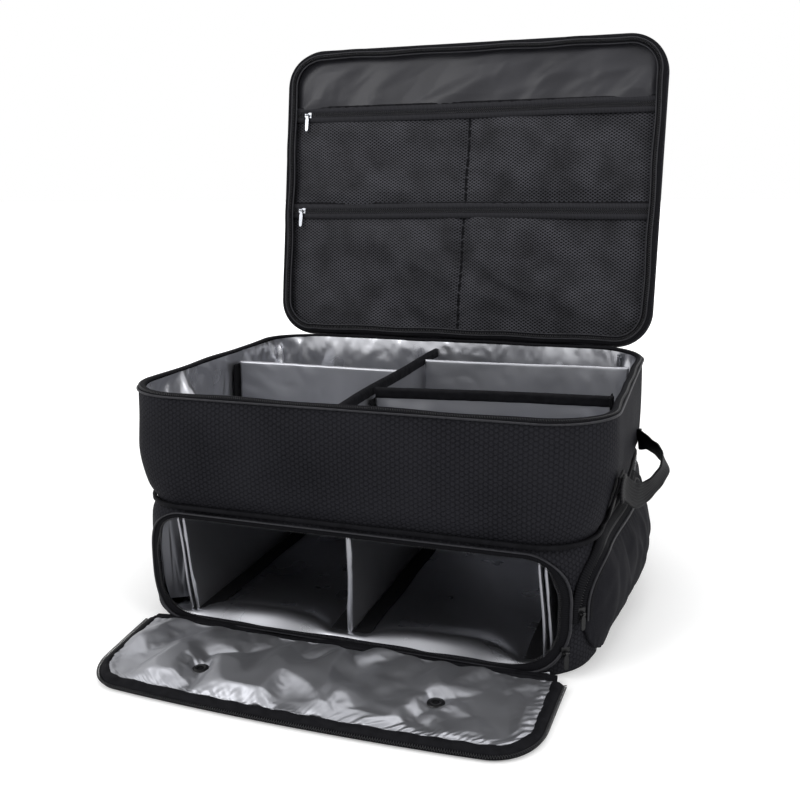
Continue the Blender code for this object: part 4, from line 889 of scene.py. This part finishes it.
x, out, d = flap_grid(0.0, 0.0014, 150, 50, 0.0022)
d = np.minimum(d, out - out.min(axis=0, keepdims=True))
swell = 0.0005 * np.sin(x * 37) * np.sin(out * 50)
flap_pad = slab("flap_pad", on_ground(x, out, 0.00235), 0.0043, (x, out), honeycomb_oxford, swell, rim=d)
settle(flap_pad, "flap", "oxford_fabric", "front_flap")

# The film lies 5.2 mm up on the pad, pinned round its edge and at the eyelets, which stand at (across, out).
FILM_LEVEL, EYELETS = 0.0052, ((-0.095, 0.069), (0.104, 0.059))
x, out, d = flap_grid(0.0085, 0.001, 150, 50, 0.002)
pinned = (d < 0.0006) | (out < 0.0024)
for ex, eo in EYELETS:
    pinned |= np.hypot(x - ex, out - eo) < 0.0085
rucks = folds(x, out, 82, 30, 0.0046, 0.012, 0.045, 0.9, 3.1) + folds(x, out, 84, 12, 0.0030, 0.022, 0.070, 0.4, 3.1)
film_grid = on_ground(x, out, 0.0060 + np.abs(rucks) * ~pinned * np.clip(d / 0.012, 0, 1))
film_grid = settle_cloth(film_grid, pinned, 0.022, 26, 0.6)
fine = folds(x, out, 83, 40, 0.0006, 0.005, 0.024, 0.6, 3.1, True) * np.clip(d / 0.01, 0, 1)
gather = 0.0018 * np.sin((x + out) * 430 + 4 * np.sin(x * 47)) * np.exp(-(((d - 0.004) / 0.005) ** 2))
film_grid[..., 2] = FILM_LEVEL + np.clip(film_grid[..., 2] - FILM_LEVEL + fine, 0, 0.011) + np.abs(gather)
for ex, eo in EYELETS:
    film_grid[..., 2] -= 0.0014 * np.exp(-((np.hypot(x - ex, out - eo) / 0.006) ** 4))
flap_film = film("aluminised PE film, flap", "#96979c", 0.42, 0.5, 0.9)
film_sheet = skin("flap_film", film_grid, flap_film, uv=(x, out))
smoother = film_sheet.modifiers.new("smooth film", "SUBSURF")
smoother.levels = smoother.render_levels = 1
settle(film_sheet, "flap", "silver_film", "flap_lining")

turn = np.linspace(0, math.pi / 2, 24)
ends_x = FLAP_HALF - FLAP_ROUND + FLAP_ROUND * np.cos(turn)
ends_out = FLAP_LONG - FLAP_ROUND + FLAP_ROUND * np.sin(turn)
ends_out = ends_out + FLAP_BOW * (1 - (ends_x / FLAP_HALF) ** 2) * (ends_out / FLAP_LONG)
far_x = np.linspace(ends_x[-1], -ends_x[-1], 90)[1:-1]
far_out = FLAP_LONG + FLAP_BOW * (1 - (far_x / FLAP_HALF) ** 2)
near = np.linspace(0.0014, ends_out[0], 24)[:-1]
flap_line = np.concatenate(
    [np.stack([FLAP_HALF + 0 * near, near], -1), np.stack([ends_x, ends_out], -1), np.stack([far_x, far_out], -1)]
    + [np.stack([-ends_x, ends_out], -1)[::-1], np.stack([-FLAP_HALF + 0 * near, near], -1)[::-1]]
)
flap_way = unit(np.gradient(flap_line, axis=0)[:, ::-1] * [1, -1])
flap_run, at_flap_edge = trail(flap_line, flap_way, closed=False)


def on_flap_edge(run, across, up):
    """Places along the flap's edge, from the right end of the hinge round to the left one; across is outward."""
    lift = 0.0005 * np.sin(run * 230 + 2 * np.sin(run * 40)) * np.clip(-across / 0.012, 0, 1)
    return on_ground(*at_flap_edge(run, across), up + lift)


runs = np.linspace(0, flap_run[-1], 300)
profile = [(-0.0100, 0.0052), (-0.0096, 0.0070), (-0.0070, 0.0078), (-0.0036, 0.0070), (-0.0010, 0.0054)]
profile += [(0.0004, 0.0036), (0.0002, 0.0012), (-0.0010, 0.0004), (-0.0030, 0.0006), (-0.0040, 0.0046)]
flap_band = strip("flap_band", profile, on_flap_edge, runs, bias_tape, closed=False)
settle(flap_band, "flap", "webbing_and_tape", "flap_zip_tape")
flap_coil = coil("flap_zip_coil", on_flap_edge, runs[[0, -1]], 0.0012, 0.0046, closed=False)
settle(flap_coil, "flap", "webbing_and_tape")
for side in ("left", "right"):
    # A flat black disc closes each eyelet's hole: painted shade for the dark inside of the hole, not a part of the
    # eyelet.
    (x0, y0, _), (x1, y1, z1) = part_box("flap_eyelet_" + side)
    turn, ring = np.meshgrid(np.linspace(0, 2 * math.pi, 28, endpoint=False), np.array([0.66, 0.63, 0.58, 0.02]))
    level = z1 - np.array([0.0006, 0.0009, 0.0012, 0.0013])[:, None]
    x, y = (x0 + x1) / 2 + ring * (x1 - x0) / 2 * np.cos(turn), (y0 + y1) / 2 + ring * (y1 - y0) / 2 * np.sin(turn)
    hole_shade = np.stack([x, y, level + 0 * turn], -1)
    settle(skin("eyelet_hole_shade_" + side, hole_shade, hook_tape, round_columns=True, cap=True), "flap", "webbing_and_tape")

runs = np.linspace(-0.186, 0.186, 200)


def hinge_lay(run, across, up):
    """Places along the flap's hinge, 183.5 mm before the middle, waving by 2 mm across and 1.2 mm up."""
    up = np.maximum(up + 0.0012 * np.sin(run * 41 + 1) * (up > 0.001), 0.0001)
    return np.stack(np.broadcast_arrays(run, -0.1835 + across + 0.0020 * np.sin(run * 33), up), -1)


for name, *size in (
    ("hinge_fold_front", -0.0052, 0.0042, 0.0056, 0.0050),
    ("hinge_fold_back", 0.0006, 0.0034, 0.0066, 0.0050),
):
    piece = strip(name, oval(*size, 12), hinge_lay, runs, bias_tape, closed=False)
    if name == "hinge_fold_front":
        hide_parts("flap_hinge_strip")
    settle(piece, "case", "webbing_and_tape")

# --- Lid --------------------------------------------------------------------------------------------------------------
# A shallow padded tray of honeycomb oxford with a 4 mm foam band, turned out over its edge. Its zip half is sewn round
# the mouth: tape, then two lines of coil and cord that show as the light lines inside the dark edge.

LEAN, LID_FOOT, LID_LEVEL = math.radians(13), 0.176, 0.2176
LID = dict(half=0.224, low=0.0, high=0.350, low_r=0.040, high_r=0.045)
lid_points, lid_way = rounded(**LID)
lid_run, at_lid_edge = trail(lid_points, lid_way)
lid_round = lid_run[-1]


def on_lid(across, up, depth):
    """A place of the lid: across, up it from the hinge and depth away from the viewer, leaning back by 13 degrees. Its
    left side sags outwards by 13 mm at the top."""
    across, up, depth = np.broadcast_arrays(across, up, depth)
    across = across + 0.013 * np.minimum(across, 0) / LID["half"] * up / LID["high"]
    y = LID_FOOT + depth * math.cos(LEAN) + up * math.sin(LEAN)
    return np.stack([across, y, LID_LEVEL - depth * math.sin(LEAN) + up * math.cos(LEAN)], -1)


def round_lid(run, across, depth):
    """Places round the lid's edge: across is outward from it."""
    return on_lid(*at_lid_edge(run, across), depth)


runs = np.linspace(0, lid_round, 520, endpoint=False)
band = [(-0.0050, 0.0100), (-0.0046, 0.0050), (-0.0042, 0.0018), (-0.0030, 0.0006), (-0.0012, 0.0006)]
band += [(-0.0002, 0.0018), (0.0004, 0.0060), (0.0006, 0.0100), (0.0002, 0.0145), (-0.0012, 0.0172), (-0.0040, 0.0184)]
across, depth = np.array(band).T[:, :, None]
band_grid = round_lid(runs[None], across, depth + 0 * runs)
back = np.linspace(1, 0.02, 46)[1:, None]
edge_x, edge_up = at_lid_edge(np.minimum(runs, lid_run[-2]), -0.004)
bx, by = edge_x * back, 0.175 + (edge_up - 0.175) * back
dents = folds(bx, by, 91, 40, 0.0010, 0.02, 0.09, 0.4, 3.1) * np.clip((1 - back) * 8, 0, 1)
cover = np.concatenate([band_grid, on_lid(bx, by, 0.0184 + 0.0035 * (1 - back**4) + dents)])
cover_uv = (np.concatenate([runs + 0 * across, bx]), np.concatenate([depth + across + 0 * runs, by]))
lid_cover = skin("lid_cover", cover, honeycomb_oxford, round_columns=True, uv=cover_uv, cap=True)
settle(lid_cover, "lid", "oxford_fabric", "lid_shell")


def wobble(run, across, depth):
    """Places round the lid's edge, in waves of half a millimetre: out by .5 mm sin(71 run), deeper by .4 mm sin(97
    run)."""
    return round_lid(run, across + 0.0005 * np.sin(run * 71), depth + 0.0004 * np.sin(run * 97))


profile = [(-0.0010, 0.0012), (-0.0014, -0.0004), (-0.0045, -0.0008), (-0.0070, -0.0002)]
profile += [(-0.0108, 0.0004), (-0.0112, 0.0014), (-0.0104, 0.0020), (-0.0040, 0.0014)]
settle(strip("lid_zip_band", profile, wobble, runs, zip_tape), "lid", "webbing_and_tape", "lid_zip_tape")
settle(coil("lid_zip_coil", wobble, (0, lid_round), -0.0078, -0.0010), "lid", "webbing_and_tape")
for name, inset, deep in (("lid_inner_cord", -0.0112, 0.0004), ("lid_seam_cord", -0.0058, -0.0010)):
    settle(strip(name, oval(inset, deep, 0.0016, 0.0016, 8), wobble, runs, piping_nylon), "lid", "webbing_and_tape")

# --- Lid lining and pockets -------------------------------------------------------------------------------------------
# The lid is lined with 210-denier nylon. A plain nylon panel covers its top; below are two pockets of knitted mesh,
# each closed by a zip across the lid whose hem is gathered into it.

nylon, tree, shader, place, uv = surface("210-denier nylon lining", 0.42, sheen=0.02, specular=0.3)
# Its threads lie .25 mm apart; drawn .9 mm apart, as finer ones don't show.
warp = add(tree, "TexWave", {"Vector": uv, "Scale": BAND / 0.0009}, bands_direction="X")
weft = add(tree, "TexWave", {"Vector": uv, "Scale": BAND / 0.0009}, bands_direction="Y")
both = add(tree, "Math", {0: warp, 1: weft}, operation="MULTIPLY")
cloud = add(tree, "TexNoise", {"Vector": place, "Scale": 22.0, "Detail": 5.0})
tone = add(tree, "Math", {0: cloud, 1: both}, operation="MULTIPLY")
colour = blend_colours(tree, tone, "#26262a", "#4c4c52")
plug(shader, {"Base Color": colour, "Normal": emboss(tree, cloud, 1.5, emboss(tree, both, 0.05), 0.5)})

# Knitted mesh: threads cross on two slants and leave lozenge holes, where the lining shows through; the holes are
# painted near black, darker than the lining, as painted shade inside the pocket. The real holes are about 2.2 mm
# apart; they are drawn 3 mm apart to show in the picture.
mesh_knit, tree, shader, place, uv = surface("warp-knitted polyester mesh", 0.55, sheen=0.015, specular=0.1)
threads = []
for lean in (1, -1):
    turned = add(tree, "Mapping", {"Vector": uv, "Rotation": (0, 0, lean * math.radians(56))})
    thread = {"Vector": turned, "Scale": BAND / 0.0030, "Distortion": 0.25, "Detail Scale": 30.0}
    threads.append(add(tree, "TexWave", thread, bands_direction="X"))
net = add(tree, "Math", {0: threads[0], 1: threads[1]}, operation="MAXIMUM")
net = {"Value": net, "From Min": 0.55, "From Max": 0.95}
net = add(tree, "MapRange", net, interpolation_type="SMOOTHSTEP")
cloud = add(tree, "TexNoise", {"Vector": place, "Scale": 30.0, "Detail": 3.0})
threads_over_shaded_holes = add(tree, "Math", {0: net, 1: cloud}, operation="MULTIPLY")
threads_over_shaded_holes = add(tree, "Math", {0: threads_over_shaded_holes, 1: 1.5}, operation="MULTIPLY")
colour = blend_colours(tree, threads_over_shaded_holes, "#09090a", "#4a4a50")
plug(shader, {"Base Color": colour, "Normal": emboss(tree, net, 0.6, emboss(tree, cloud, 1.2, strength=0.4))})

x, up = fill(dict(half=0.2195, low=0.0045, high=0.3455, low_r=0.0355, high_r=0.0405), 80, 60, 0.002)
lining_grid = on_lid(x, up, 0.0095 + 0.0004 * np.sin(x * 40) * np.sin(up * 33))
lid_lining = skin("lid_lining_cloth", lining_grid, nylon, uv=(x, up))
settle(lid_lining, "lid", "nylon_lining", "lid_lining")


def lid_panel(name, low, high, material, relief, low_r=0.0005, high_r=0.0005):
    """A pocket's cloth on the lid: the outline there, standing off the lining by 1.1 mm and its own relief."""
    shape = dict(half=0.2137, low=low, high=high, low_r=low_r, high_r=high_r)
    x, up = fill(shape, 170, 70, 0.0004)
    free = np.clip(inside(x, up, **shape) / 0.02, 0, 1) ** 0.6
    return skin(name, on_lid(x, up, 0.0084 - np.clip(relief(x, up) * free, -0.0009, 0.007)), material, uv=(x, up))


def drawn(x, up):
    """The nylon panel's relief: 1.6 mm, long folds drawn towards the corner, finer ones, and gathers at the zip."""
    long_folds = folds(x, up, 101, 18, 0.0036, 0.014, 0.075, -0.9, 0.7)
    fine_folds = folds(x, up, 102, 40, 0.0009, 0.006, 0.03, -0.8, 1.8)
    gathers = folds(x, up, 104, 22, 0.0030, 0.006, 0.012, 0.2, 0.8) * np.exp(-(up - 0.27) / 0.012)
    return 0.0016 + long_folds + fine_folds + gathers


nylon_panel = lid_panel("lid_nylon_panel_cloth", 0.2700, 0.3440, nylon, drawn, high_r=0.036)
settle(nylon_panel, "lid", "nylon_lining", "lid_nylon_panel")


def slack(x, up):
    """A mesh pocket's relief: 2 mm and long folds, and at the seam down its middle puckers of half a millimetre."""
    seam = np.exp(-(((x - 0.001) / 0.008) ** 2))
    loose = 0.0020 + folds(x, up, seed, 20, 0.0034, 0.017, 0.07, 0.9, 0.8)
    return loose * (1 - seam) + 0.0005 * seam * np.sin(up * 520 + 3 * np.sin(up * 70))


for name, low, high, low_r, seed in (
    ("mesh_pocket_upper", 0.1550, 0.2690, 0.0005, 103),
    ("mesh_pocket_lower", 0.0070, 0.1500, 0.034, 105),
):
    mesh_pocket = lid_panel(name + "_cloth", low, high, mesh_knit, slack, low_r)
    settle(mesh_pocket, "lid", "mesh", name)
    rise, side = np.meshgrid(spread(low + 0.006, high - 0.004, 260, 0.001), np.linspace(-0.0017, 0.0017, 7))
    raised = 0.0076 - 0.0004 * np.sin(rise * 1100) + 260 * side**2
    stitched = on_lid(0.001 + side + 0.0006 * np.sin(rise * 90), rise, raised)
    settle(skin(name + "_seam", stitched, bias_tape, uv=(rise, side)), "lid", "mesh")

# The pockets' tape is the same zip tape drawn lighter: a painted highlight for the light that falls on it from above.
pocket_tape = ribbed_tape("woven polyester zip tape, painted lighter", 0.05, "#19191b", "#38383c")


def across_lid(run, across, out):
    """Places along a pocket's zip at its level on the lid, waving by .6 mm up and .3 mm in depth."""
    up = level + across + 0.0006 * np.sin(run * 17 + level * 90)
    return on_lid(run, up, 0.0058 - out + 0.0003 * np.sin(run * 29))


runs = np.linspace(-0.2137, 0.2137, 260)
profile = [(-0.0090, -0.0004), (-0.0088, 0.0010), (-0.0040, 0.0014), (-0.0022, 0.0004), (0.0022, 0.0004)]
profile += [(0.0036, 0.0018), (0.0052, 0.0022), (0.0090, 0.0010), (0.0092, -0.0004)]
for name, level in (("lower", 0.1519), ("upper", 0.2709)):
    tape = strip(f"pocket_zip_{name}_band", profile, across_lid, runs, pocket_tape, closed=False)
    settle(tape, "lid", "webbing_and_tape", f"pocket_zip_{name}_tape")
    for side, middle in (("low", -0.0013), ("high", 0.0013)):
        size = (0.0010, 0.0022, 0.0014, 0.0024, 0.0004)
        piece = coil(f"pocket_zip_{name}_coil_{side}", across_lid, runs[[0, -1]], middle, *size, closed=False)
        settle(piece, "lid", "webbing_and_tape")
    # Above each zip a strip of black binding stands for the hem of the cloth above it: the hem is real, its black is
    # painted shade under that cloth's edge.
    run, side = np.meshgrid(runs, np.linspace(0.0070, 0.0110, 9))
    pucker = 0.0004 * np.sin(run * 430 + 5 * np.sin(run * 37)) + 0.0002 * np.sin(run * 910)
    pucker *= np.exp(-(((side - 0.0095) / 0.0020) ** 2))
    shaded_hem = on_lid(run, level + side, 0.0060 - 0.0010 * np.sin(np.pi * (side - 0.007) / 0.004) - pucker)
    settle(skin(f"pocket_hem_shade_{name}", shaded_hem, bias_tape, uv=(run, side)), "lid", "nylon_lining")

runs = np.linspace(-0.150, 0.150, 120)
at_back = lambda run, z, out: np.stack(np.broadcast_arrays(run, 0.1778 + out, z), -1)
profile = [(0.2100, -0.0022), (0.2130, -0.0006), (0.2176, 0.0010), (0.2200, 0.0040)]
profile += [(0.2196, 0.0058), (0.2160, 0.0030), (0.2110, 0.0012)]
back_hinge = strip("lid_hinge_fold", profile, at_back, runs, bias_tape, closed=False)
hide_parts("lid_hinge_strip")
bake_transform(back_hinge)

# --- Sliders, pullers and eyelets -------------------------------------------------------------------------------------
# Die-cast zinc zip sliders, bright nickel-plated on the lid and black lacquered below, and pressed brass eyelets with a
# black finish in the flap.

nickel, tree, shader, place, uv = surface("nickel-plated zinc, die-cast", 0.16, metallic=1.0)
scuff = add(tree, "TexNoise", {"Vector": place, "Scale": 420.0, "Detail": 3.0})
worn = add(tree, "MapRange", {"Value": scuff, "To Min": 0.2, "To Max": 0.42})
plug(shader, {"Roughness": worn, "Base Color": blend_colours(tree, scuff, "#7e8085", "#a9abb0")})
scuff = {"Scale": 300.0, "Detail": 3.0}
lacquer = flecked("black-lacquered zinc, die-cast", 0.3, scuff, "#0a0a0b", "#1b1b1d", specular=0.3)
for node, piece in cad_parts.items():
    if "slider" in node or "puller" in node or "eyelet" in node:
        finish = nickel if "pocket_zip" in node or "lid_zip" in node else lacquer
        for slot in piece.material_slots:
            slot.material = finish

# --- Studio -----------------------------------------------------------------------------------------------------------
# A white floor that runs out of sight, a white surround for the camera and for gloss, and three soft lamps.

floor_paint, tree, shader, place, uv = surface("matt studio floor", 0.9)
plug(shader, {"Base Color": linear("#f4f4f4")})
seen = add(tree, "LightPath")
away = add(tree, "VectorMath", {0: place}, operation="LENGTH")
glow = {"Value": away.outputs["Value"], "From Min": 0.5, "From Max": 2.5, "To Min": 0.25, "To Max": 1.0}
glow = add(tree, "MapRange", glow)
white = add(tree, "Emission", {"Color": (1, 1, 1, 1), "Strength": glow})
total = add(tree, "AddShader", {0: shader, 1: white})
pick = add(tree, "MixShader", {0: seen.outputs["Is Camera Ray"], 1: shader, 2: total})
plug(tree.nodes["Material Output"], {"Surface": pick})
far = np.linspace(-30, 30, 2)
floor = skin("floor", np.stack([*np.meshgrid(far, far), np.full((2, 2), -0.0004)], -1), floor_paint)

world = bpy.data.worlds.new("studio surround")
bpy.context.scene.world = world
world.use_nodes = True
tree = world.node_tree
seen = add(tree, "LightPath")
shown = seen.outputs["Is Camera Ray"]
for ray in ("Is Glossy Ray", "Is Transmission Ray"):
    shown = add(tree, "Math", {0: shown, 1: seen.outputs[ray]}, operation="MAXIMUM")
level = add(tree, "MapRange", {"Value": shown, "To Min": 0.55, "To Max": 1.0})
plug(tree.nodes["Background"], {"Color": (1, 1, 1, 1), "Strength": level})

for name, spot, size, watts in (
    ("key softbox", (-1.5, -1.6, 1.9), 1.3, 30.0),
    ("fill softbox", (1.9, -0.7, 1.3), 1.2, 16.0),
    ("overhead softbox", (0.1, 0.5, 2.1), 1.4, 16.0),
):
    lamp = bpy.data.lights.new(name, "AREA")
    lamp.shape, lamp.size, lamp.energy = "SQUARE", size, watts
    lamp_object = bpy.data.objects.new(name, lamp)
    bpy.context.scene.collection.objects.link(lamp_object)
    lamp_object.location = spot
    aim = Vector((0, 0, 0.15)) - Vector(spot)
    lamp_object.rotation_euler = aim.to_track_quat("-Z", "Y").to_euler()

lens = bpy.data.cameras.new("camera")
lens.lens, lens.sensor_width, lens.clip_start = 41.2345, 36.0, 0.01
camera = bpy.data.objects.new("camera", lens)
camera.location = (0.28217, -0.8565, 0.38916)
camera.rotation_euler = [math.radians(t) for t in (77.0915, 0.4111, 18.601)]
bpy.context.scene.collection.objects.link(camera)
bpy.context.scene.camera = camera
bpy.context.scene.view_settings.view_transform = "Standard"
